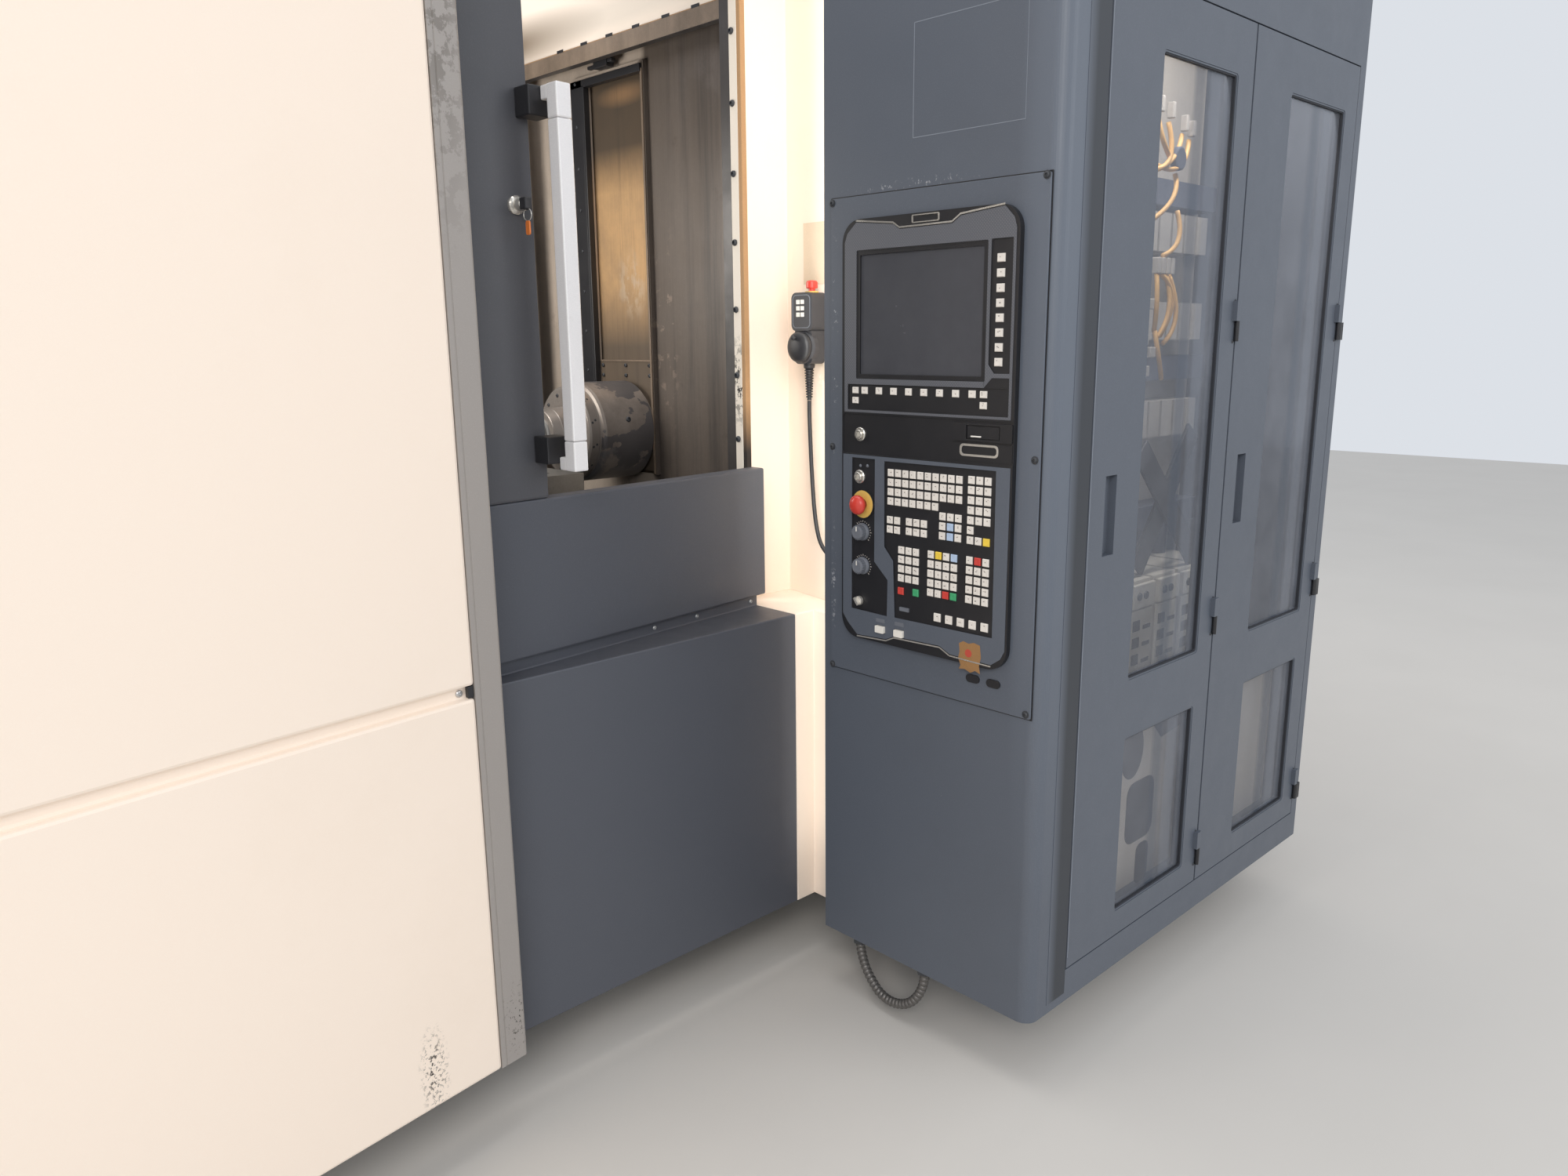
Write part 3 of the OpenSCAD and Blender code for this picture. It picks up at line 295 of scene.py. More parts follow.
def machined_head(name, colour, under):
    """The spindle housing: stained bare steel, ragged patches of dark paint, dark below."""
    s = Shade(name, 0.4, metal=0.45)
    grain = s.noise(160, 3.0, 0.6, (8, 1, 1))
    steel = s.tones(grain, under, 0.8, 1.1)
    steel = s.over(steel, s.range(s.noise(9, 8.0, 0.7), 0.42, 0.66), 0.8, shade_of(under, 0.6))
    patches = s.range(s.noise(8, 9.0, 0.5, (0.9, 1, 1.2)), 0.52, 0.53)
    paint = s.tones(s.noise(14, 6.0, 0.7), colour, 0.85, 1.15)
    ragged = s.times_add(s.noise(9, 8.0, 0.6), 1.4, s.rises(1268, 1080))
    base = s.mix(patches, steel, paint)
    s.put("Base Color", s.mix(s.range(ragged, 1.18, 1.26), base, shade_of(colour, 1.4)))
    s.vary(s.noise(20, 6.0), 0.3, 0.6)
    s.bump(patches, 0.25, 0.0008)
    s.bump(grain, 0.06, 0.0004)
    return s.material


def brushed(name, colour, stain=0.35, rough=0.34, stretch=(1, 1, 14), metal=0.7):
    """Rolled or ground metal with directional grain and old coolant stains."""
    s = Shade(name, rough, metal)
    grain = s.noise(230, 3.0, 0.6, stretch)
    blotch = s.range(s.noise(3.4, 9.0, 0.68), 0.46, 0.72)
    base = s.over(s.tones(grain, colour, 0.78, 1.12), blotch, stain, DIRT)
    spots = s.range(s.noise(24, 4.0, 0.6), 0.66, 0.72)
    s.put("Base Color", s.over(base, spots, stain * 0.8, DIRT))
    s.vary(blotch, rough, min(1.0, rough + 0.28))
    s.bump(grain, 0.07)
    return s.material


def streaked_sheet(name, colour, stain_colour, strength, metal, right=1.0):
    """Chamber sheet under old coolant: tall streaks that run down, and cloudy stains.

    Right of the slot the colour is darkened by a factor: painted shade.
    """
    s = Shade(name, 0.42, metal)
    grain = s.noise(210, 2.0, 0.6, (1, 1, 0.06))
    runs = s.range(s.noise(9, 5.0, 0.7, (1, 1, 0.05)), 0.40, 0.75)
    clouds = s.range(s.noise(2.2, 9.0, 0.7), 0.40, 0.75)
    base = s.over(s.tones(grain, colour, 0.93, 1.06), runs, strength * 0.6, stain_colour)
    base = s.over(base, clouds, strength, stain_colour)
    spatter = s.range(s.noise(240, 4.0, 0.8), 0.56, 0.70)
    base = s.over(base, spatter, 0.3, shade_of(colour, 1.3))
    rusty = s.range(s.noise(5.0, 9.0, 0.75), 0.60, 0.72)
    base = s.over(base, rusty, 0.35, shade_of(srgb(96, 74, 58), 0.8))
    if right < 1:
        runs = s.range(s.noise(14, 6.0, 0.75, (1, 1, 0.04)), 0.46, 0.66)
        dark = s.mix(runs, (1.0, 0.97, 0.97), (0.62, 0.62, 0.66))
        pale = s.times(s.near((218, 470, 2130), (60, 260, 190)), s.range(clouds, 0.1, 0.7))
        dark = s.over(dark, pale, 0.8, (1.9, 1.9, 2.1))
        dark = s.scuff_and_painted_light(dark, (218, 690, 1500), (60, 70, 330), (1.9, 1.75, 1.7), 26, 0.42)
        # right of the slot the stained colour is scaled down by the factor: painted shade
        stains_and_painted_shade = s.vector("MULTIPLY", base, s.vector("SCALE", dark, right))
        base = s.mix(s.rises(764, 742, 1), base, stains_and_painted_shade)
    s.put("Base Color", base)
    s.vary(clouds, 0.30, 0.62)
    s.bump(grain, 0.05)
    return s.material


def aged_brass(name, bright):
    """The head's cover plate: tarnished top, polished brass middle, grey-brown low end."""
    s = Shade(name, 0.32, metal=0.35)
    grain = s.noise(190, 3.0, 0.6, (1, 1, 0.05))
    dark, low = srgb(70, 65, 60), srgb(102, 93, 84)
    cloud = s.noise(3.0, 7.0, 0.65)
    base = s.over(s.tones(grain, bright, 0.86, 1.15), s.range(cloud, 0.45, 0.75), 0.6, low)
    base = s.over(base, s.rises(1640, 1470), 0.92, low)
    base = s.over(base, s.rises(1890, 2010), 0.9, dark)
    base = s.over(base, s.near((222, 860, 2140), (40, 130, 34)), 0.7, srgb(168, 132, 96))
    runs = s.range(s.noise(30, 6.0, 0.75, (1, 1, 0.04)), 0.52, 0.72)
    base = s.over(base, runs, 0.35, dark)
    splash = s.times(s.near((222, 850, 1640), (60, 80, 110)),
                     s.range(s.noise(26, 6.0, 0.7, (1, 1, 0.6)), 0.46, 0.6))
    s.put("Base Color", s.over(base, splash, 0.8, srgb(206, 188, 166)))
    s.vary(cloud, 0.22, 0.5)
    s.bump(grain, 0.05)
    return s.material


def moulded(name, colour, rough=0.45, grain=0.12, speck=1.25, coat=0.0):
    """Moulded plastic or rubber with a fine texture and slight wear."""
    s = Shade(name, rough)
    base = s.tones(s.noise(30, 5.0), colour, 0.9, 1.1)
    specks = s.range(s.noise(500, 2.0), 0.62, 0.8)
    s.put("Base Color", s.mix(specks, base, shade_of(colour, speck)))
    s.vary(s.noise(12, 5.0), rough - 0.06, rough + 0.10)
    s.bump(s.noise(900, 2.0), grain, 0.0003)
    s.put("Coat Weight", coat)
    return s.material


def dotted(name, dark, light, pitch=0.0042):
    """Fascia print: a fine grid of round dots, two to each cell."""
    s = Shade(name, 0.4)
    node = s.add("TexVoronoi", {
        "Scale": 1 / pitch, "Randomness": 0.0,
        "Vector": s.mapped(Rotation=(radians(45), 0, 0))})
    base = s.mix(s.range(node.outputs["Distance"], 0.36, 0.52), light, dark)
    s.put("Base Color", s.mix(s.noise(8, 4.0), base, shade_of(dark, 1.15)))
    s.bump(s.noise(700, 2.0), 0.06, 0.0003)
    return s.material


def clear_pane(name, tint, alpha, haze, bands):
    """Thin glazing: mostly see-through, with dust, a coat and reflected upright bands."""
    s = Shade(name, 0.08)
    dust = s.range(s.noise(5.0, 8.0, 0.7), 0.4, 0.8)
    base = s.tones(dust, tint, 1, 1.2)
    cover = s.range(dust, alpha, alpha + haze, "To")
    for low, high, colour, strength in bands:
        inside = s.times(s.rises(low, low + 8, 0), s.rises(high, high - 8, 0))
        base = s.mix(inside, base, colour)
        cover = s.times_add(inside, strength, cover)
    s.put("Base Color", base)
    s.put("Alpha", cover)
    s.bump(s.noise(3.0, 2.0), 0.02, 0.002)
    s.put("Coat Weight", 0.4)
    return s.material


SCUFF_BLACK = srgb(40, 34, 30)
RUST = srgb(128, 86, 48)
# a pale colour for scratches, also used for a painted highlight
PALE_SCRATCH_AND_HIGHLIGHT = srgb(170, 172, 176)

# Marks: a drawing point, the reach along each axis, a colour, the grain's scale and the cover
CREAM_MARKS = (
    ((-948, -88, 222), (34, 20, 105), SCUFF_BLACK, 150, 0.47),
    ((-800, -75, 893), (70, 20, 14), srgb(120, 108, 96)),
    ((60, 10, 905), (70, 60, 22), RUST, 45),
    ((96, 285, 1235), (60, 60, 40), RUST, 60, 0.48),
    # painted shade on the header: a darker cream along it and a deeper shade round Y 1400
    ((152, 760, 2316), (60, 800, 84), srgb(222, 210, 196), 30, 1.0),
    ((152, 1400, 2316), (120, 590, 84), srgb(120, 104, 86), 30, 1.0),
    # painted shadow of the pendant on the side wall, below and beside it
    ((160, 20, 1420), (40, 90, 160), srgb(214, 190, 158), 30))
STRIP_MARKS = (
    ((-770, -67, 236), (40, 30, 90), SCUFF_BLACK, 160, 0.42),
    ((-790, -70, 2000), (60, 60, 400), srgb(126, 120, 114), 30))
COVER_MARKS = (
    ((-20, -2, 925), (60, 20, 30), RUST, 90, 0.4),
    ((-400, -2, 905), (420, 20, 6), PALE_SCRATCH_AND_HIGHLIGHT, 90, 0.42),
    # painted highlight: a pale line along the apron's top edge
    ((-300, -30, 1205), (400, 60, 5), PALE_SCRATCH_AND_HIGHLIGHT, 90, 0.4))
CABINET_MARKS = (
    ((-3, -165, 1470), (10, 10, 330), PALE_SCRATCH_AND_HIGHLIGHT, 70, 0.40),
    ((-3, -160, 980), (10, 8, 150), PALE_SCRATCH_AND_HIGHLIGHT, 70, 0.45),
    ((-3, -360, 1772), (10, 200, 12), PALE_SCRATCH_AND_HIGHLIGHT, 90, 0.42),
    ((150, -702, 330), (8, 8, 120), PALE_SCRATCH_AND_HIGHLIGHT, 90, 0.5),
    # painted reflection: a paler blue-grey over the cabinet's front corner
    ((40, -660, 1700), (80, 70, 1500), srgb(104, 112, 124), 30, 1.0),
    ((0, -400, 560), (10, 160, 60), PALE_SCRATCH_AND_HIGHLIGHT, 120, 0.33))
SEAL_MARKS = (((69, 220, 1390), (30, 60, 120), SCUFF_BLACK, 55),)
SEALANT_MARKS = (((76, 204, 1200), (60, 60, 150), srgb(44, 38, 34), 30, 0.7),)
PANE_BANDS = (
    (452, 500, srgb(96, 104, 118), 0.2), (512, 566, srgb(136, 142, 154), 0.14),
    (1003, 1051, srgb(96, 104, 118), 0.2), (1063, 1117, srgb(136, 142, 154), 0.14))

# By kind of surface: the colour from 0 to 255, then the further values of the kind's function
LOOKS = {
    painted: {
        "cream_paint": (249, 233, 217, 0.55, 0.012, 0.08, srgb(216, 194, 166), 0.06,
                        CREAM_MARKS, 0),
        "dark_cover": (79, 82, 90, 0.46, 0.06, 0.12, DIRT, 0.35, COVER_MARKS),
        "blue_grey_paint": (88, 94, 104, 0.42, 0.06, 0.10, DIRT, 0.35, CABINET_MARKS),
        "grey_profile": (156, 150, 145, 0.4, 0.04, 0.06, srgb(130, 124, 118), 0.15,
                         STRIP_MARKS, 0.4),
        "cast_iron": (120, 128, 124, 0.55, 0.08, 0.4),
        "dark_steel": (58, 60, 64, 0.5, 0.08, 0.3),
        "seal": (238, 228, 214, 0.6, 0.03, 0.25, srgb(150, 120, 84), 0.2, SEAL_MARKS, 0),
        "old_sealant": (178, 140, 100, 0.7, 0.12, 0.5, srgb(126, 92, 60), 0.3,
                        SEALANT_MARKS, 0),
        "black_metal": (34, 34, 37, 0.4, 0.05),
        "mounting_plate_paint": (176, 169, 160, 0.5, 0.04, 0.3),
        "door_paint": (76, 77, 82, 0.44, 0.05, 0.10),
        "magazine_paint": (130, 134, 138, 0.5, 0.06, 0.3),
        "stop_yellow": (214, 178, 92, 0.45, 0.08, 0.5, srgb(120, 84, 50)),
        "tape_residue": (150, 112, 70, 0.7, 0.25, 0.8, srgb(60, 44, 32)),
        "notice_paper": (226, 208, 184, 0.75, 0.02, 0.3, srgb(196, 176, 150), 0.2, (), 0)},
    post_shade: {"post_shade": (88, 94, 104)},
    brushed: {
        "bright_steel": (196, 196, 196, 0.2),
        "conduit_metal": (112, 109, 106, 0.2, 0.36, (1, 1, 1), 0.5),
        "handle_aluminium": (240, 238, 238, 0.05, 0.42, (1, 1, 14), 0.1),
        "worn_steel": (160, 152, 146, 0.5, 0.36, (14, 1, 1), 0.6),
        "pallet_steel": (150, 148, 144, 0.4, 0.3, (14, 1, 1)),
        "switch_metal": (216, 212, 204, 0.05, 0.22, (1, 1, 1))},
    streaked_sheet: {
        "chamber_steel": (74, 70, 69, srgb(42, 40, 40), 0.8, 0.1),
        "shutter_steel": (200, 186, 172, srgb(112, 102, 94), 0.55, 0.2, 0.26),
        "header_steel": (150, 132, 115, srgb(70, 60, 50), 0.8, 0.2)},
    aged_brass: {"brass_cover": (204, 166, 122)},
    machined_head: {"head_paint": (104, 101, 102, srgb(158, 148, 140))},
    dotted: {"fascia_dots": (88, 90, 96, srgb(132, 133, 138))},
    clear_pane: {"window_glass": (142, 146, 156, 0.19, 0.12, PANE_BANDS)},
    moulded: {
        "switchgear_plastic": (184, 178, 170), "drive_housing": (206, 200, 188),
        "duct_plastic": (78, 84, 98), "bezel_plastic": (34, 34, 37, 0.36),
        "screen_glass": (74, 75, 80, 0.22, 0.03), "key_plastic": (228, 222, 214, 0.45, 0.05),
        "pendant_plastic": (52, 52, 56, 0.5), "cable_jacket": (38, 37, 40, 0.5),
        "red_plastic": (206, 60, 48, 0.35, 0.04, 1.1, 0.3), "knob_plastic": (108, 112, 120),
        "white_plastic": (236, 232, 224, 0.4, 0.05), "black_plastic": (40, 40, 43, 0.42),
        "blue_key": (176, 196, 222, 0.45, 0.05), "yellow_key": (238, 204, 74, 0.45, 0.05),
        "red_key": (204, 66, 58, 0.45, 0.05), "green_key": (64, 160, 108, 0.45, 0.05),
        "key_print": (120, 112, 108, 0.6, 0.02), "faded_red": (186, 74, 58, 0.6),
        "worn_edge": (126, 132, 142, 0.5), "hose_black": (46, 48, 54, 0.55),
        "wire_yellow": (214, 168, 100, 0.5), "orange_plastic": (214, 118, 52, 0.4)}}
MATERIALS = {name: make(name, srgb(*values[:3]), *values[3:])
             for make, looks in LOOKS.items() for name, values in looks.items()}
SLOT_OF = {s["node"]: s["material_slot"] for s in frame["record"]["subparts"]}


# Shapes: each function keeps its values until a piece hands it the bmesh to fill

def shape(fill):
    return lambda *values, **named: lambda work: fill(work, *values, **named)


def circle(work, centre, side, across, radius, sides):
    return [work.verts.new(centre + radius * (cos(2 * pi * k / sides) * side
                                              + sin(2 * pi * k / sides) * across))
            for k in range(sides)]


def bridge(work, a, b):
    """Faces between two closed rows of corners, of which one may be a single corner."""
    sides = max(len(a), len(b))
    for k in range(sides):
        nxt = (k + 1) % sides
        corners = (a[k % len(a)], a[nxt % len(a)], b[nxt % len(b)], b[k % len(b)])
        work.faces.new(list(dict.fromkeys(corners)))


@shape
def block(work, x, y, z, on=at):
    """A box between pairs of coordinates."""
    corners = [work.verts.new(on(a, b, c)) for a in x for b in y for c in z]
    for face in ((0, 1, 3, 2), (4, 6, 7, 5), (0, 4, 5, 1), (2, 3, 7, 6), (0, 2, 6, 4),
                 (1, 5, 7, 3)):
        work.faces.new([corners[i] for i in face])


@shape
def turned(work, profile, place, axis=TOWARDS_OPERATOR, sides=32, ring=False):
    """A turned form: (distance along the axis, radius) pairs from a drawing point."""
    along = Vector(axis).normalized()
    side = along.orthogonal().normalized()
    across = along.cross(side)
    loops = []
    for step, radius in profile:
        centre = at(*place) + along * (step / 1000)
        loops.append(circle(work, centre, side, across, radius / 1000, sides) if radius
                     else [work.verts.new(centre)])
    for a, b in zip(loops, loops[1:] + loops[:1] if ring else loops[1:]):
        bridge(work, a, b)
    if not ring:
        for loop in (loops[0], loops[-1]):
            if len(loop) > 1:
                work.faces.new(loop)


@shape
def screw(work, place, radius, height, axis=TOWARDS_OPERATOR):
    """A button-head screw with a socket."""
    turned([(0, radius), (height * 0.5, radius * 0.96), (height * 0.85, radius * 0.75),
            (height, radius * 0.5), (height * 0.4, radius * 0.42), (height * 0.4, 0)],
           place, axis, 16)(work)


@shape
def sheet(work, outline, low, high, holes=(), on=panel_point):
    """A flat sheet with holes, from (u, v) outlines; on() maps (u, v, out) to a point."""
    loops = [[Vector((u, v, 0)) for u, v in loop] for loop in (outline, *holes)]
    faces = tessellate_polygon(loops)
    layers = [[work.verts.new(on(p.x, p.y, out)) for loop in loops for p in loop]
              for out in (low, high)]
    for layer in layers:
        for face in faces:
            work.faces.new([layer[i] for i in face])
    start = 0
    for loop in loops:
        end = start + len(loop)
        bridge(work, layers[0][start:end], layers[1][start:end])
        start = end


@shape
def tube(work, path, radius_at, sides=16):
    """A closed tube along a path; radius_at gives the radius by arc length."""
    normal = (path[1] - path[0]).normalized().orthogonal().normalized()
    run = 0.0
    rings = []
    for i, point in enumerate(path):
        ahead = (path[min(i + 1, len(path) - 1)] - path[max(i - 1, 0)]).normalized()
        normal = (normal - ahead * normal.dot(ahead)).normalized()
        if i:
            run += (point - path[i - 1]).length
        rings.append(circle(work, point, normal, ahead.cross(normal), radius_at(run), sides))
    for a, b in zip(rings, rings[1:]):
        bridge(work, a, b)
    work.faces.new(rings[0][::-1])
    work.faces.new(rings[-1])


def rounded(u0, u1, v0, v1, radius):
    """A rounded rectangle's outline."""
    points = []
    for cu, cv, start in ((u1 - radius, v1 - radius, 0), (u0 + radius, v1 - radius, 90),
                          (u0 + radius, v0 + radius, 180), (u1 - radius, v0 + radius, 270)):
        points += [(cu + radius * cos(angle), cv + radius * sin(angle))
                   for angle in turns(7, 15, start)]
    return points


def plate(low, high, outer, *holes, on=panel_point):
    """A sheet and its holes as rounded rectangles."""
    return sheet(rounded(*outer), low, high, [rounded(*hole) for hole in holes], on)


def strip(points, width):
    """The outline of a thin strip along a polyline."""
    left, right = [], []
    for i, (u, v) in enumerate(points):
        before = points[max(i - 1, 0)]
        after = points[min(i + 1, len(points) - 1)]
        du, dv = after[0] - before[0], after[1] - before[1]
        size = hypot(du, dv)
        left.append((u - dv / size * width / 2, v + du / size * width / 2))
        right.append((u + dv / size * width / 2, v - du / size * width / 2))
    return left + right[::-1]


# Pieces

def link_piece(name, mesh, body, material, bevel, smooth=False):
    """Links a mesh as a piece of the object that rides on a body."""
    made = add_object(name, mesh)
    mesh.materials.append(MATERIALS[material])
    for face in mesh.polygons:
        face.use_smooth = smooth
    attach(made, body)
    if bevel:
        edges = made.modifiers.new("rounded_edges", "BEVEL")
        edges.width = bevel
        edges.segments = 2
        edges.limit_method = "ANGLE"
        edges.angle_limit = radians(35.0)
        edges.harden_normals = False
    return made


def piece(name, material, *shapes, body="root", bevel=0.0, smooth=False, replaces=()):
    work = bmesh.new()
    for fill in shapes:
        fill(work)
    bmesh.ops.recalc_face_normals(work, faces=work.faces)
    mesh = bpy.data.meshes.new(name)
    work.to_mesh(mesh)
    work.free()
    made = link_piece(name, mesh, body, material, bevel, smooth)
    if replaces:
        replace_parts(made, *replaces)
    return made


def dress(node, width):
    """A copy of a CAD node with rounded edges stands for it; the CAD node stays for collision."""
    source = frame["nodes"][node]
    mesh = source.data.copy()
    mesh.materials.clear()
    work = bmesh.new()
    work.from_mesh(mesh)
    bmesh.ops.remove_doubles(work, verts=work.verts, dist=1e-6)
    bmesh.ops.dissolve_limit(work, angle_limit=radians(1.0), verts=work.verts,
                             edges=work.edges)
    work.to_mesh(mesh)
    work.free()
    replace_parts(link_piece(node + "_dressed", mesh, source["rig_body"], SLOT_OF[node], width),
                node)


def paint_nodes():
    """Every carried-over CAD node gets its procedural material."""
    for name, obj in frame["nodes"].items():
        obj.data.materials.clear()
        obj.data.materials.append(MATERIALS[SLOT_OF[name]])


# Cords

PENDANT_ROUTE = [at(*p) for p in (
    (152, 70, 1347.7), (152, 70, 1320), (151, 68, 1290), (149, 64, 1250), (146, 58, 1200),
    (142, 50, 1150), (137, 40, 1100), (132, 28, 1060), (126, 12, 1030), (121, -8, 1010),
    (117, -30, 1000), (114, -52, 1000), (112, -72, 1010), (112, -88, 1026), (112, -102, 1042),
    (112, -112, 1052), (112, -119, 1056), (112, -128.6, 1056))]
CONDUIT_ROUTE = [at(*p) for p in (
    (24, -408, 149.7), (24, -408, 125), (22, -404, 100), (18, -394, 76), (14, -378, 56),
    (12, -356, 42), (12, -332, 35), (13, -308, 34), (15, -284, 40), (18, -262, 54),
    (20, -242, 74), (22, -228, 98), (22, -221, 125), (22, -221, 149.7))]
CABLE_RADIUS = 0.0048
CONDUIT_RADIUS = 0.0080              # between the ribs
RIB_HEIGHT = 0.0029
RIB_PITCH = 0.0104


def smooth_path(points, steps):
    """Catmull-Rom points through a list, in metres."""
    path = []
    for i in range(len(points) - 1):
        a, b, c, d = (points[min(max(i + k, 0), len(points) - 1)] for k in (-1, 0, 1, 2))
        for t in (k / steps for k in range(steps)):
            path.append(0.5 * ((2 * b) + (c - a) * t + (2 * a - 5 * b + 4 * c - d) * t * t
                               + (3 * b - a - 3 * c + d) * t ** 3))
    path.append(points[-1].copy())
    return path


def make_cord(name, material, node, route, steps, radius_at):
    path = smooth_path(route, steps)
    made = piece(name, material, tube(path, radius_at), smooth=True, replaces=(node,))


def ribbed(run):
    return CONDUIT_RADIUS + RIB_HEIGHT * abs(sin(run * pi / RIB_PITCH)) ** 0.5


def make_cords():
    make_cord("pendant_cable_run", "cable_jacket", "pendant_cable", PENDANT_ROUTE, 6,
              lambda run: CABLE_RADIUS)
    make_cord("conduit_ribbed", "conduit_metal", "conduit_loop", CONDUIT_ROUTE, 28, ribbed)


# Floor, world and lamps

FLOOR_HALF = 14.0


def make_stage():
    floor_mesh = bpy.data.meshes.new("studio_floor")
    floor_mesh.from_pydata([(x * FLOOR_HALF, y * FLOOR_HALF, 0)
                            for x, y in ((-1, -1), (1, -1), (1, 1), (-1, 1))],
                           [], [(0, 1, 2, 3)])
    floor = add_object("studio_floor", floor_mesh)
    s = Shade("studio_floor_paint", 0.8)
    s.put("Base Color", s.mix(s.noise(1.5, 4.0), srgb(206, 202, 196), srgb(214, 210, 204)))
    floor_mesh.materials.append(s.material)
    world = bpy.data.worlds.new("studio_world")
    bpy.context.scene.world = world
    world.use_nodes = True
    background = world.node_tree.nodes["Background"]
    background.inputs["Color"].default_value = (0.90, 0.94, 1.0, 1)
    background.inputs["Strength"].default_value = 0.8


# Lamps: the place, the point aimed at, the width, the watts, the colour and the height if not
# square; the last four stand close to the machine and light its recesses
LAMPS = {
    "key_light": ((-5.2, -5.6, 4.6), (0, -0.5, 1.2), 3.4, 222, (1.0, 0.97, 0.94)),
    "side_light": ((3.0, -7.0, 3.6), (0.4, -0.8, 1.2), 3.0, 70, (0.95, 0.97, 1.0)),
    "top_light": ((-0.6, 0.3, 6.0), (-0.4, 0.0, 1.0), 3.2, 95, (1.0, 0.98, 0.95)),
    "chamber_light": (at(-700, 1100, 1750), at(218, 1200, 1700), 0.6, 11, (1.0, 0.96, 0.9)),
    "recess_light_upper": (at(18, -104, 1720), at(150, -58, 1720), 0.08, 3.3,
                           (1.0, 0.985, 0.93), 1.5),
    "recess_light_lower": (at(18, -104, 690), at(150, -58, 690), 0.08, 0.33,
                           (1.0, 0.985, 0.93), 0.8),
    "cabinet_light": (at(640, -620, 2280), at(640, -440, 900), 0.9, 9, (1.0, 0.97, 0.94), 0.06)}


def add_lamp(name, place, target, size, power, colour, height=None):
    data = bpy.data.lights.new(name, "AREA")
    data.size = size
    if height:
        data.shape = "RECTANGLE"
        data.size_y = height
    data.energy = power
    data.color = colour
    lamp = add_object(name, data)
    lamp.location = place
    lamp.rotation_euler = (Vector(target) - Vector(place)).to_track_quat("-Z", "Y").to_euler()
    lamp.visible_camera = False


# The control panel: how far its frame and its sunk fields stand out, in millimetres
FACE = 16.0
FIELD = 14.5


def make_panel():
    """Fascia sheets, trims, display frame and fittings of the control panel."""
    top_line = [(458, 1713), (362, 1703), (346, 1693), (220, 1694), (201, 1706), (104, 1715)]
    upper = [(78, 1342), (489, 1342), (489, 1672), (482, 1690), (458, 1710), (362, 1700),
             (346, 1690), (220, 1691), (201, 1703), (104, 1712), (84, 1692), (78, 1674)]
    side_keys = [(84, 1658), (84, 1424), (118, 1424), (131, 1440), (131, 1658)]
    low_keys = [(480, 1398), (140, 1398), (122, 1416), (84, 1416), (84, 1347), (480, 1347)]
    piece("upper_fascia", "fascia_dots", sheet(
        upper, FACE + 0.05, FACE + 0.9, [rounded(138, 457, 1409, 1657, 3), side_keys, low_keys]),
        bevel=0.0004)

    bottom_line = [(451, 874), (370, 878), (348, 888), (229, 891), (204, 879), (105, 877)]
    lower = [(492, 1256), (75, 1256), (75, 912), (84, 895), (105, 880), (204, 882), (229, 894),
             (348, 891), (370, 881), (451, 877), (478, 900), (492, 918)]
    column = [(467, 1250), (404, 1250), (404, 1040), (367, 1006), (368, 930), (467, 932)]
    keyboard = [(379, 1248), (377, 1074), (353, 1048), (347, 931), (104, 933), (106, 1249)]
    buttons = [rounded(a - 13, a + 13, 891, 908, 2) for a in (385, 334)]
    piece("lower_fascia", "blue_grey_paint", sheet(
        lower, FACE + 0.05, FACE + 0.9, [column, keyboard] + buttons), bevel=0.0004)
    piece("column_field_flare", "bezel_plastic", sheet(
        [(404, 1040), (404, 932), (369, 932), (368, 1005)], FACE - 0.4, FACE + 0.02))
    piece("bright_trims", "switch_metal",
          sheet(strip(top_line, 3.2), FACE + 0.9, FACE + 2.0),
          sheet(strip(bottom_line, 2.6), FACE + 0.9, FACE + 1.8),
          plate(FIELD, FIELD + 2.4, (103, 191, 1272, 1295, 8), (107, 187, 1276, 1291, 6)),
          plate(FACE, FACE + 1.6, (250, 316, 1698, 1713, 3), (253, 313, 1700, 1711, 2)),
          bevel=0.0004)
    piece("black_frames", "bezel_plastic",
          plate(9.3, 15.4, (139, 456, 1410, 1656, 3), (147, 448, 1418, 1648, 2)),
          plate(FIELD, FIELD + 3.4, (73, 209, 1300, 1334, 2), (100, 176, 1304, 1330, 1.5)),
          plate(FIELD, FIELD + 2.2, (102, 174, 1306, 1328, 1)),
          plate(FIELD, FIELD + 1.2, (73, 209, 1264, 1297, 2)),
          *[plate(4.0, 6.6, (a - 16, a + 16, 832, 848, 7.9)) for a in (154.5, 106)],
          bevel=0.0006)
    piece("drive_slot", "white_plastic",
          plate(FIELD + 2.2, FIELD + 2.9, (142, 166, 1308, 1310.5, 1)))
    piece("panel_screws", "dark_steel", *[made for along, z in (
        (535, 1753), (29, 1756), (535, 1267), (32, 1273), (535, 792), (31, 796)) for made in (
            turned([(0, 7.5), (0.9, 7.5), (1.0, 7.0), (1.0, 0)], panel_place(along, z, 4.0),
                   sides=20), screw(panel_place(along, z, 4.8), 5.4, 3.4))])
    residue = [(131, 913), (146, 916), (158, 912), (171, 915), (181, 909), (179, 893),
               (182, 880), (176, 866), (180, 858), (166, 860), (152, 855), (141, 861),
               (129, 857), (132, 872), (128, 889)]
    piece("old_tape", "tape_residue", sheet(residue, FACE + 0.9, FACE + 1.15))
    piece("tape_patch", "faded_red", turned([(0, 8), (0.3, 8), (0.3, 0)],
                                            panel_place(158, 893, 17.2), sides=20))
    piece("plate_seam", "black_metal", plate(
        0.02, 0.35, (18.6, 542.4, 784.6, 1763.4, 2), (21.3, 539.7, 787.3, 1760.7, 1)))
    sticker = [(330, 2050), (80, 2050), (80, 1852), (330, 1852)]
    piece("sticker_outline", "worn_edge", *[
        sheet(strip(line, 1.6), 0.02, 0.3) for line in (sticker, sticker[::3])])


KEY_PITCH = 19.05
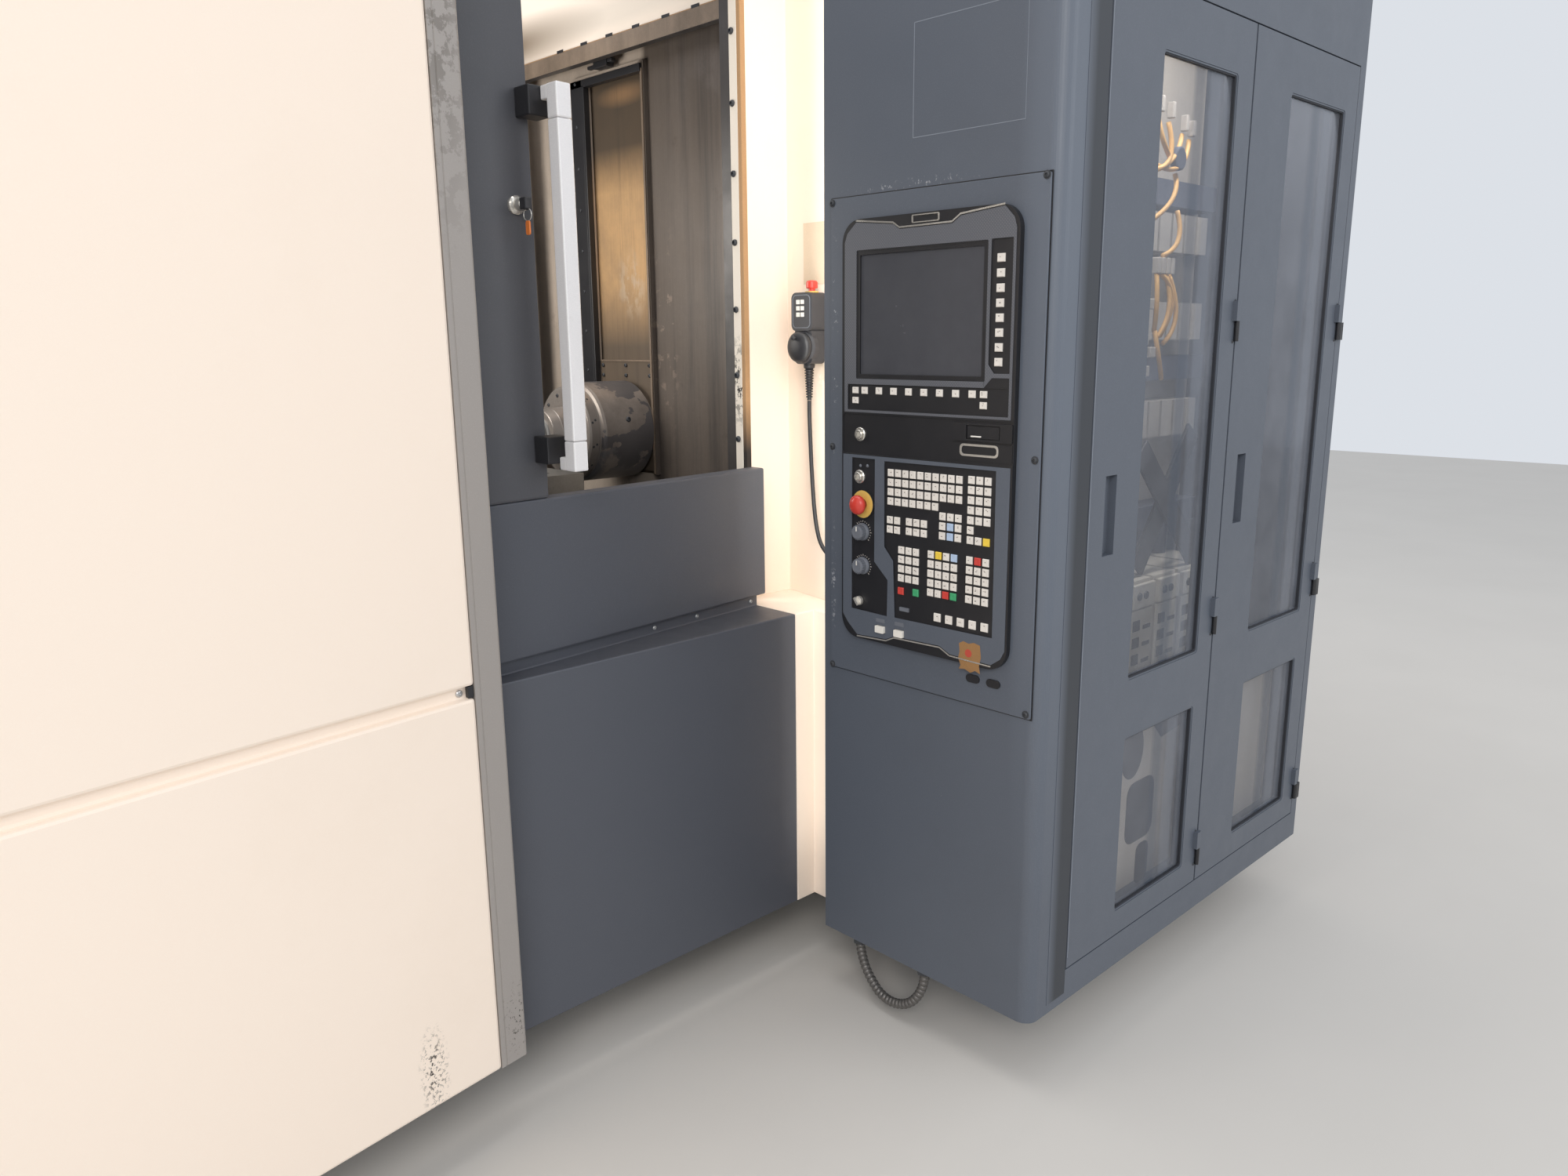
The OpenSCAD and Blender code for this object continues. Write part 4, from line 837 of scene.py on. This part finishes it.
# The first key's place, then how many keys along and down
WHITE_BLOCKS = ((362, 1226, 10, 3), (362, 1168.85, 7, 1), (162, 1228, 3, 5), (162, 1132.75, 1, 1),
                (162, 1113.7, 2, 1), (363, 1131, 2, 2), (313, 1132, 3, 2), (332, 1073, 3, 4),
                (256, 1055, 4, 3), (256, 997.8, 2, 1), (162, 1056, 3, 4), (256, 1074, 1, 1),
                (218, 1074, 1, 1), (162, 1075, 1, 1), (124, 1075, 1, 1), (229, 1152, 3, 1),
                (229, 1133, 1, 2), (191, 1133, 1, 2))
COLOUR_KEYS = {"blue_key": ((210, 1133), (210, 1114), (199, 1074)),
               "yellow_key": ((124, 1113.7), (237, 1074)),
               "red_key": ((332, 989), (218, 997.8), (143, 1075)),
               "green_key": ((293, 991), (199, 997.8))}
KEY_RISE = 3.6


@shape
def key(work, along, z, w=15, h=15):
    """A key cap with sloping sides and a shallow dished top."""
    base = FIELD + 0.1
    loops = [[work.verts.new(panel_point(along + a * (w / 2 - inset), z + b * (h / 2 - inset),
                                         base + out))
              for a, b in ((-1, -1), (1, -1), (1, 1), (-1, 1))]
             for out, inset in ((0, 0.0), (KEY_RISE * 0.55, 0.15), (KEY_RISE, 1.3))]
    loops.append([work.verts.new(panel_point(along, z, base + KEY_RISE - 0.45))])
    for low, high in zip(loops, loops[1:]):
        bridge(work, low, high)
    work.faces.new(loops[0][::-1])


def make_keys():
    places = [(along - c * KEY_PITCH, z - r * KEY_PITCH, 15, 15)
              for along, z, cols, rows in WHITE_BLOCKS for c in range(cols) for r in range(rows)]
    places += [(237 - i * 28.5, 950, 17, 17) for i in range(5)]
    places += [(109.5, 1625 - i * 25.8, 17, 15) for i in range(8)]
    places += [(434 - i * 38.3, 1386, 16, 14) for i in range(8)]
    places += [(a, z, 16, 13) for a in (459, 140) for z in (1386, 1366)]
    piece("key_caps", "key_plastic", *[key(*place) for place in places], bevel=0.0005,
          replaces=("keypad",))
    for name, spots in COLOUR_KEYS.items():
        piece("key_caps_" + name, name, *[key(*spot) for spot in spots], bevel=0.0005)
    marks = []
    for along, z, _, _ in places:
        for _ in range(random.choice((1, 1, 2))):
            half = random.uniform(1.2, 3.4) / 2
            low = z + random.uniform(-1.5, 3.5)
            middle = along + random.uniform(-2.5, 2.5)
            outline = [(middle + a * half, low + b) for a, b in (
                (-1, 0), (1, 0), (1, 1.3), (-1, 1.3))]
            marks.append(sheet(outline, FIELD + 2.9, FIELD + 3.62))
    piece("key_marks", "key_print", *marks)


def dial(profile, along, z, sides=32, ring=False):
    """A turned form that stands in the panel's sunk field."""
    return turned(profile, panel_place(along, z, FIELD), TOWARDS_OPERATOR, sides, ring)


def make_dials():
    """Emergency stop, override knobs, key switches and push buttons."""
    piece("stop_disc", "stop_yellow", dial(
        [(0.1, 12), (0.1, 29.6), (3.8, 29.6), (5.2, 28), (5.6, 22), (5.6, 12)], 435, 1156, 48,
        True))
    piece("stop_mushroom", "red_plastic", dial(
        [(-1, 0), (-1, 10.8), (12.5, 10.8), (14.5, 15), (16.5, 19.3), (20, 20.2), (24, 19.4),
         (28, 15.5), (31.5, 9), (33, 0)], 435, 1156, 48), body="emergency_stop", smooth=True,
        replaces=("emergency_stop",))
    for body, along, z in (("feed_knob", 438, 1098), ("rapid_knob", 437, 1027)):
        piece(body + "_turned", "knob_plastic",
              dial([(0.4, 0), (0.4, 18.4), (3, 18.4), (6, 17), (7, 15.4), (17, 14.6),
                    (19.5, 13.4), (20.3, 11), (19.9, 8), (19.9, 0)], along, z, 40),
              *[dial([(7.5, 0), (7.5, 1.2), (17.5, 1.1), (18.3, 0)],
                     along + 15 * cos(turn), z + 15 * sin(turn), 6)
                for turn in turns(20, 18)], body=body, replaces=(body,))
        y = along - CABINET_FRONT
        piece(body + "_pointer", "white_plastic", block(
            (-FIELD - 21.1, -FIELD - 19.6), (y - 0.9, y + 0.9), (z + 3, z + 12.5)), body=body)
        ticks = [[(along - r * cos(turn), z + r * sin(turn))
                  for r in (20.5, 22.6 if k % 3 else 24.0)]
                 for k, turn in enumerate(turns(19, 15, -45))]
        piece(body + "_scale", "key_plastic", *[
            sheet(strip(line, 0.9), FIELD, FIELD + 0.25) for line in ticks])
    for body, along, z in (("lock_switch", 446, 1298), ("memory_switch", 447, 1211.5)):
        y = along - CABINET_FRONT
        piece(body + "_collar", "switch_metal", dial(
            [(0, 14), (2, 14), (3.4, 12.6), (3.4, 9.9), (0, 9.9)], along, z, ring=True))
        piece(body + "_barrel", "switch_metal", dial(
            [(0.4, 0), (0.4, 9.4), (7.5, 9.4), (8.4, 8.6), (8.4, 6.4), (7.0, 6), (7.0, 0)],
            along, z), block((-FIELD - 14, -FIELD - 6.8), (y - 1, y + 1), (z - 5, z + 5)),
            body=body, replaces=(body,))
    tilt = radians(38)
    line = [(445 + u * sin(tilt), 951 + u * cos(tilt)) for u in (-9, 9)]
    piece("mode_lever", "switch_metal",
          dial([(0.4, 0), (0.4, 10), (7, 9.6), (8, 8.6), (8, 0)], 445, 951),
          sheet(strip(line, 6), FIELD + 7.5, FIELD + 14), body="mode_switch", bevel=0.0008,
          replaces=("mode_switch",))
    piece("small_lamps", "knob_plastic", *[
        dial([(0, 3.4), (1.2, 3.2), (2.2, 2), (2.5, 0)], along, z, 20)
        for along, z in ((445, 1234), (426, 1235))], smooth=True)
    for body, along in (("start_button", 385), ("stop_button", 334)):
        piece(body + "_cap", "white_plastic", plate(
            FACE - 1.9, FACE + 5.6, (along - 11.8, along + 11.8, 892.2, 906.8, 2)),
            body=body, bevel=0.0009, replaces=(body,))
    piece("label_caps", "knob_plastic", *[
        plate(low, FACE + 1.5, (along - 12, along + 12, z - 4, z + 4, 1))
        for along, z, low in ((385, 918, FACE + 0.9), (334, 919, FACE + 0.9), (322, 952, FIELD))],
        bevel=0.0004)


def make_pendant():
    """The handwheel box: shell, keys, selector, domed wheel, stop and ribbed strain relief."""
    left = 128.0
    piece("pendant_shell", "pendant_plastic",
          plate(128.4, 175.8, (36.5, 103.5, 1506, 1591, 14), on=side_point),
          plate(133, 175.8, (42, 98, 1432, 1512, 12), on=side_point),
          turned([(0, 36), (2, 37.5), (14, 37.5), (20, 34)], (left + 20, 70, 1470), sides=40),
          bevel=0.004, replaces=("pendant_body",))
    piece("pendant_face_rim", "knob_plastic", plate(
        127.4, 128.6, (42, 99, 1512, 1586, 11), (44, 97, 1514, 1584, 9), on=side_point),
        bevel=0.0004)
    profile = [(-4, 13), (10, 13), (12, 10)]
    for k in range(11):
        step, size = 14 + k * 6, 11 - k * 0.35
        profile += [(step, size - 2.8), (step + 0.6, size), (step + 3.4, size),
                    (step + 4, size - 2.8)]
    piece("pendant_boot", "cable_jacket",
          turned(profile + [(84, 5.4)], (152, 70, 1433), (0, 0, -1), 24))
    piece("pendant_keys", "key_plastic", *[
        block((left - 3.0, left + 0.6), (y - 4.6, y + 4.6), (z - 4.8, z + 4.8))
        for y in (66, 80) for z in (1570, 1556, 1542)], bevel=0.0008)
    piece("pendant_wheel_turned", "black_plastic", turned(
        [(0.6, 0), (0.6, 33), (3, 35), (9, 35), (13, 33.5), (17, 29), (20, 21), (21.5, 10),
         (21.8, 0)], (left, 70, 1470), sides=48), body="pendant_wheel", smooth=True,
        replaces=("pendant_wheel",))
    piece("pendant_crank", "black_plastic", turned(
        [(15, 0), (15, 5.5), (22, 4.6), (27, 6.0), (31, 5.2), (32, 0)], (left, 70, 1491),
        sides=20), body="pendant_wheel", smooth=True)
    piece("pendant_selector", "black_plastic", turned(
        [(-1, 0), (-1, 9), (9, 8.6), (10, 7), (10, 6.4), (15.4, 5.8), (15.8, 4), (15.8, 0)],
        (152, 104, 1566), (0, 1, 0), 24), body="pendant_knob", replaces=("pendant_knob",))
    piece("pendant_mushroom", "red_plastic", turned(
        [(-6, 0), (-6, 7.8), (3, 7.8), (4, 12.6), (6, 13.4), (17, 13.4), (20, 11.6), (21.6, 7),
         (22, 0)], (152, 60, 1596), (0, 0, 1), 28), body="pendant_stop",
        replaces=("pendant_stop",))
    piece("pendant_stop_ring", "stop_yellow", turned(
        [(0, 15.5), (3, 15.5), (3, 9), (0, 9)], (152, 60, 1590.5), (0, 0, 1), 28, True))


# Wires seen through the cabinet's glass: drawing X and Z of both ends and the bend between
LOOMS = (((700, 1961), (690, 1890), (792, 1868)), ((748, 1954), (770, 1850), (688, 1850)),
         ((812, 1934), (760, 1860), (690, 1846)), ((846, 1926), (800, 1830), (700, 1862)),
         ((792, 1848), (790, 1790), (700, 1742)), ((812, 1770), (826, 1690), (760, 1668)),
         ((735, 1628), (712, 1560), (742, 1500)), ((756, 1628), (830, 1580), (770, 1488)),
         ((777, 1628), (800, 1540), (752, 1482)), ((792, 1628), (846, 1520), (784, 1470)),
         ((742, 1500), (730, 1440), (790, 1390)))


def make_cabinet():
    """Gaskets, wiring and the parts seen through the cabinet's glass."""
    def rims(x, out, *insets):
        """Frames inside a leaf's two openings, from (inset, radius) of both outlines."""
        return [plate(-9.8, out, *[(x + 180 + d, x + 479 - d, low + d, high - d, radius)
                                   for d, radius in insets], on=cabinet_point)
                for low, high in ((799, 1998), (281, 675))]

    edge = block((132, 138), (-692.9, -691.5), (248, 2150))
    for body, x, more in (("cabinet_leaf_left", 131, [edge]), ("cabinet_leaf_right", 682, [])):
        piece(body + "_gaskets", "hose_black", *rims(x, -3.2, (3.5, 6), (6, 5)), body=body,
              bevel=0.0004)
        piece(body + "_reveal", "blue_grey_paint", *rims(x, -1.2, (0.3, 8.5), (3.6, 6)), *more,
              body=body, bevel=0.0008)
        piece(body + "_screws", "dark_steel", *[
            screw((x + 537, -692, z), 3.6, 2.2, (0, -1, 0))
            for z in (268, 352, 831, 915, 1476, 1560)], body=body)
    # A thin sheet over the corner post that carries painted shade towards the leaf
    piece("post_painted_shade_sheet", "post_shade", block((62, 126.5), (-692.7, -691.5), (170, 2190)))
    # painted highlight: a paler strip along the left leaf's edge
    piece("leaf_edge_painted_highlight", "worn_edge", block((131.4, 133.2), (-693.2, -691.6), (248, 2150)),
          body="cabinet_leaf_left")
    piece("terminal_rows", "duct_plastic",
          *[block((x, x + 20), (-378, -330), (1700, 1748)) for x in range(200, 512, 26)],
          *[block((x, x + 32), (-396, -388), (z, z + 32))
            for z in (1270, 1510, 1720) for x in range(190, 748, 62)], bevel=0.001)
    piece("white_connectors", "switchgear_plastic",
          *[block((x - 6, x + 6), (-484, -468), (z - 17, z + 17))
            for x, z in ((700, 1985), (748, 1978), (812, 1958), (846, 1950))],
          *[block((x, x + 14), (-478, -450), (1628, 1664)) for x in range(728, 812, 21)],
          *[block((x - 12, x + 12), (-480, -462), (z - 12, z + 12))
            for x, z in ((705, 1560), (690, 1480), (724, 1452), (700, 1410))], bevel=0.002)
    for k, loom in enumerate(LOOMS):
        a, b, c = (at(x, y, z) for (x, z), y in zip(loom, (-470, -492, -468)))
        path = [a * (1 - t) ** 2 + 2 * b * t * (1 - t) + c * t * t
                for t in (i / 16 for i in range(17))]
        piece("wiring_loom_%d" % k, "wire_yellow", tube(path, lambda run: 0.0055, 10),
              smooth=True)
    piece("round_relay", "duct_plastic", turned(
        [(0, 0), (0, 26), (14, 26), (16, 22), (16, 0)], (788, -470, 1880), (0, -1, 0), 28),
        bevel=0.001)
    piece("cross_ducts", "black_metal", *[
        sheet(strip(ends, 62), out, out + 8, on=cabinet_point)
        for ends, out in ((((690, 1230), (990, 930)), -214), (((960, 1260), (720, 940)), -226))],
        bevel=0.002)
    drives = range(650, 1130, 120)
    piece("drive_fronts", "drive_housing", *[made for x in drives for made in (
        block((x + 4, x + 102), (-503, -496), (570, 850)),
        block((x + 3, x + 103), (-508, -496), (856, 914)))], bevel=0.002)
    marks = []
    for x in drives:
        marks += [turned([(0, 0), (0, 10), (4, 9), (4, 0)], (x + dx, -508, 886), (0, -1, 0), 20)
                  for dx in (26, 56)]
        for z in range(590, 842, 42):
            marks += [block((x + 12, x + 44), (-504.6, -502.4), (z, z + 26)),
                      block((x + 60, x + 94), (-504.6, -502.4), (z, z + 10))]
    piece("drive_sockets", "black_plastic", *marks, bevel=0.0006)
    piece("inner_plate", "mounting_plate_paint", plate(
        -66, -62, (250, 1180, 262, 716, 6), on=cabinet_point), bevel=0.001)
    cutouts = ([(462 + 48 * cos(t), 590 + 66 * sin(t)) for t in turns(24, 15)],
               rounded(450, 570, 362, 510, 30), rounded(505, 560, 250, 350, 20),
               [(540, 640), (560, 662), (690, 650), (700, 600), (590, 590)])
    piece("inner_cutouts", "hose_black", *[
        sheet(outline, -62, -61, on=cabinet_point) for outline in cutouts])


def make_door():
    """Handle, lock with its key, and the screws on the front covers."""
    piece("handle_tube", "handle_aluminium",
          *[block((-572, -540), (10, -22), z, cover_point)
            for z in ((1253, 1307.5), (1308.1, 1861.9), (1862.5, 1920))],
          *[block((-570, -542), (-22.2, -44), z, cover_point)
            for z in ((1253, 1277), (1896, 1920))],
          body="work_door", bevel=0.0028, replaces=("door_handle",))
    piece("handle_brackets", "black_metal", *[
        block((-596, -548), (-44, -89.7), z, cover_point) for z in ((1265, 1315), (1870, 1920))],
        body="work_door", bevel=0.0025)
    out_of_door = (sin(FRONT_TURN), -cos(FRONT_TURN), 0)
    x, y, z = cover_place(-607, -89.7, 1723)
    piece("lock_barrel", "switch_metal", turned(
        [(0, 0), (0, 16.5), (5, 16.5), (8, 14), (9, 10.8), (25, 10.8), (26, 9.4), (26, 0)],
        (x, y, z), out_of_door, 28), body="work_door", replaces=("door_lock",))
    piece("lock_key", "black_plastic", block((-615, -599), (-63.5, -44), (1713, 1733),
                                             cover_point), body="work_door", bevel=0.002)
    piece("key_ring", "switch_metal", turned(
        [(-1, 10.5), (0, 11.6), (1, 10.5), (0, 9.4)], (x, y - 40, 1704), (1, 0.15, 0), 28, True),
        body="work_door", smooth=True)
    piece("key_tag", "orange_plastic", plate(
        -608.5, -605.5, (y - 46, y - 34, 1670, 1694, 4), on=side_point),
        body="work_door", bevel=0.0006)
    piece("joint_screw", "bright_steel", screw(
        cover_place(-835, -13.8, 892), 7, 4, out_of_door))
    piece("joint_end", "black_plastic", block((-822, -811), (-3, -13.8), (882, 903),
                                              cover_point), bevel=0.001)
    piece("gap_screws", "bright_steel", *[
        screw(cover_place(x, -101.6, 883), 5, 3, out_of_door) for x in (-300, -170, 10)])


def make_work_area():
    """Seals, header, wiper, and the dressed spindle head."""
    height = [corner.z * 1000 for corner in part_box("door_seals")]
    piece("seal_strip", "seal", block((69, 76), (211, 237), height),
          block((70, 80.5), (262, 267.5), height), bevel=0.001, replaces=("door_seals",))
    piece("jamb_inner_face", "chamber_steel", block((69.2, 81.1), (237.2, 268), height))
    piece("sealant_bead", "old_sealant", block((69.6, 85), (199.4, 214), height), bevel=0.002)
    piece("seal_screws", "dark_steel", *[
        screw((69, 227, z), 7.4, 6) for z in range(1256, 2256, 150)])
    piece("header_slots", "black_metal", *[
        block((148.6, 150.2), (y - 15, y + 15), (2261, 2269))
        for y in (1037, 921, 804, 687, 564, 448, 330)])
    piece("header_edge", "old_sealant", block((150, 151.6), (283, 1325), (2253, 2264)))
    piece("header_fold", "cream_paint", block((150, 151.8), (283, 1325), (2264.2, 2278)))
    piece("header_band", "header_steel", block((137.1, 137.9), (324, 1325), (2216, 2256.5)))
    piece("shutter_wiper", "black_metal", block((196, 204), (1012, 1067), (1119, 2196)),
          block((196, 215), (1003.6, 1014), (1119, 2181)),
          block((196, 216), (742, 1067), (2176, 2196)), body="column", bevel=0.0015)
    piece("wiper_screws", "dark_steel", *[
        screw((196, 1042, z), 4.5, 3) for z in range(1180, 2190, 112)], body="column")
    piece("limit_switch", "black_plastic", block((178, 203), (862, 925), (2206, 2226)),
          block((184, 198), (925, 962), (2211, 2220)),
          block((180, 196), (842, 862), (2214, 2224)), body="column", bevel=0.002)
    piece("slot_edge", "header_steel", block((200, 204), (738, 745), (1119, 2184)),
          body="column", bevel=0.0008)

    hy, hz = 872, 1241      # drawing Y and Z of the spindle's axis
    piece("cover_screws", "dark_steel", *[
        screw((214, y, z), 5.6, 3.6) for y in (hy - 106, hy + 6, hy + 118) for z in (1391, 1419)],
        body="head")
    piece("cover_lip", "header_steel", block((213.6, 216.2), (hy - 118, hy + 130), (1430, 1434)),
          body="head")
    for name, profile in (
            ("head_ring", [(27, 126.4), (31, 126.8), (32.8, 126), (34, 122), (27, 122)]),
            ("head_flange", [(-3.6, 73), (-3.6, 119), (-2.4, 121), (2.4, 125.6), (26, 125.6),
                             (26, 120), (0, 74)]),
            ("head_sleeve", [(-77.6, 46), (-77.6, 62.6), (-76, 64.6), (-52, 68.6), (-50, 69.4),
                             (-4, 71.8), (-4, 60)])):
        piece(name, "worn_steel", turned(profile, (0, hy, hz), (1, 0, 0), 96, True), body="head")
    bolts = []
    for turn in turns(12, 30, 15):
        bolts.append(screw((-3.6, hy + 104 * sin(turn), hz + 104 * cos(turn)),
                           5.2, 3.2))
        for x, more in ((8, 0), (18, 0.05)):
            side = (0, sin(turn + more), cos(turn + more))
            bolts.append(turned([(0, 3.4), (0.9, 3.4), (0.9, 0)],
                                (x, hy + 125 * side[1], hz + 125 * side[2]), side, 12))
    bolts.append(screw((118, hy - 130, hz + 36), 8, 5, (0, -1, 0.28)))
    piece("ring_bolts", "dark_steel", *bolts, body="head")
    piece("drive_keys", "dark_steel", *[
        block((-89, -79.5), (hy - 8, hy + 8), (z - 4, z + 4)) for z in (hz - 40, hz + 40)],
        body="spindle", bevel=0.001)


def make_small_parts():
    """Conduit glands and the bare notice on the skewed side wall."""
    piece("conduit_glands", "dark_steel", *[
        turned([(0, 12), (0, 17), (4, 18.5), (12, 18.5), (13.7, 16), (13.7, 12)], (x, y, 136),
               (0, 0, 1), 6, True) for x, y in ((24, -408), (22, -221))], bevel=0.0008)
    start, end = Vector((147, -129)), Vector((210, 201))
    along = (end - start).normalized()
    out = Vector((-along.y, along.x))

    def wall_point(u, v, rise):
        spot = start + along * u + out * rise
        return at(spot.x, spot.y, v)
    piece("blank_notice", "notice_paper", sheet(
        [(150, 1609), (265, 1612), (265, 1749), (150, 1746)], 0.3, 1.0, on=wall_point))


make_camera()
make_cords()
make_panel()
make_keys()
make_dials()
make_pendant()
make_cabinet()
make_door()
make_work_area()
make_small_parts()
paint_nodes()
# The CAD nodes that get rounded edges, with the edge's width in metres
for node, width in {
        "left_covers": 0.006, "lower_panel": 0.004, "apron": 0.004, "work_door": 0.004,
        "profile_strip": 0.002, "ledge": 0.002, "door_jamb": 0.001, "cabinet_shell": 0.003,
        "cabinet_door_left": 0.004, "cabinet_door_right": 0.004, "control_plate": 0.001,
        "control_bezel": 0.0015, "roof": 0.003, "right_end_cover": 0.004, "rear_cover": 0.004,
        "left_end_cover": 0.004}.items():
    dress(node, width)
make_stage()
for name, values in LAMPS.items():
    add_lamp(name, *values)

scene = bpy.context.scene
scene.view_settings.view_transform = "Standard"
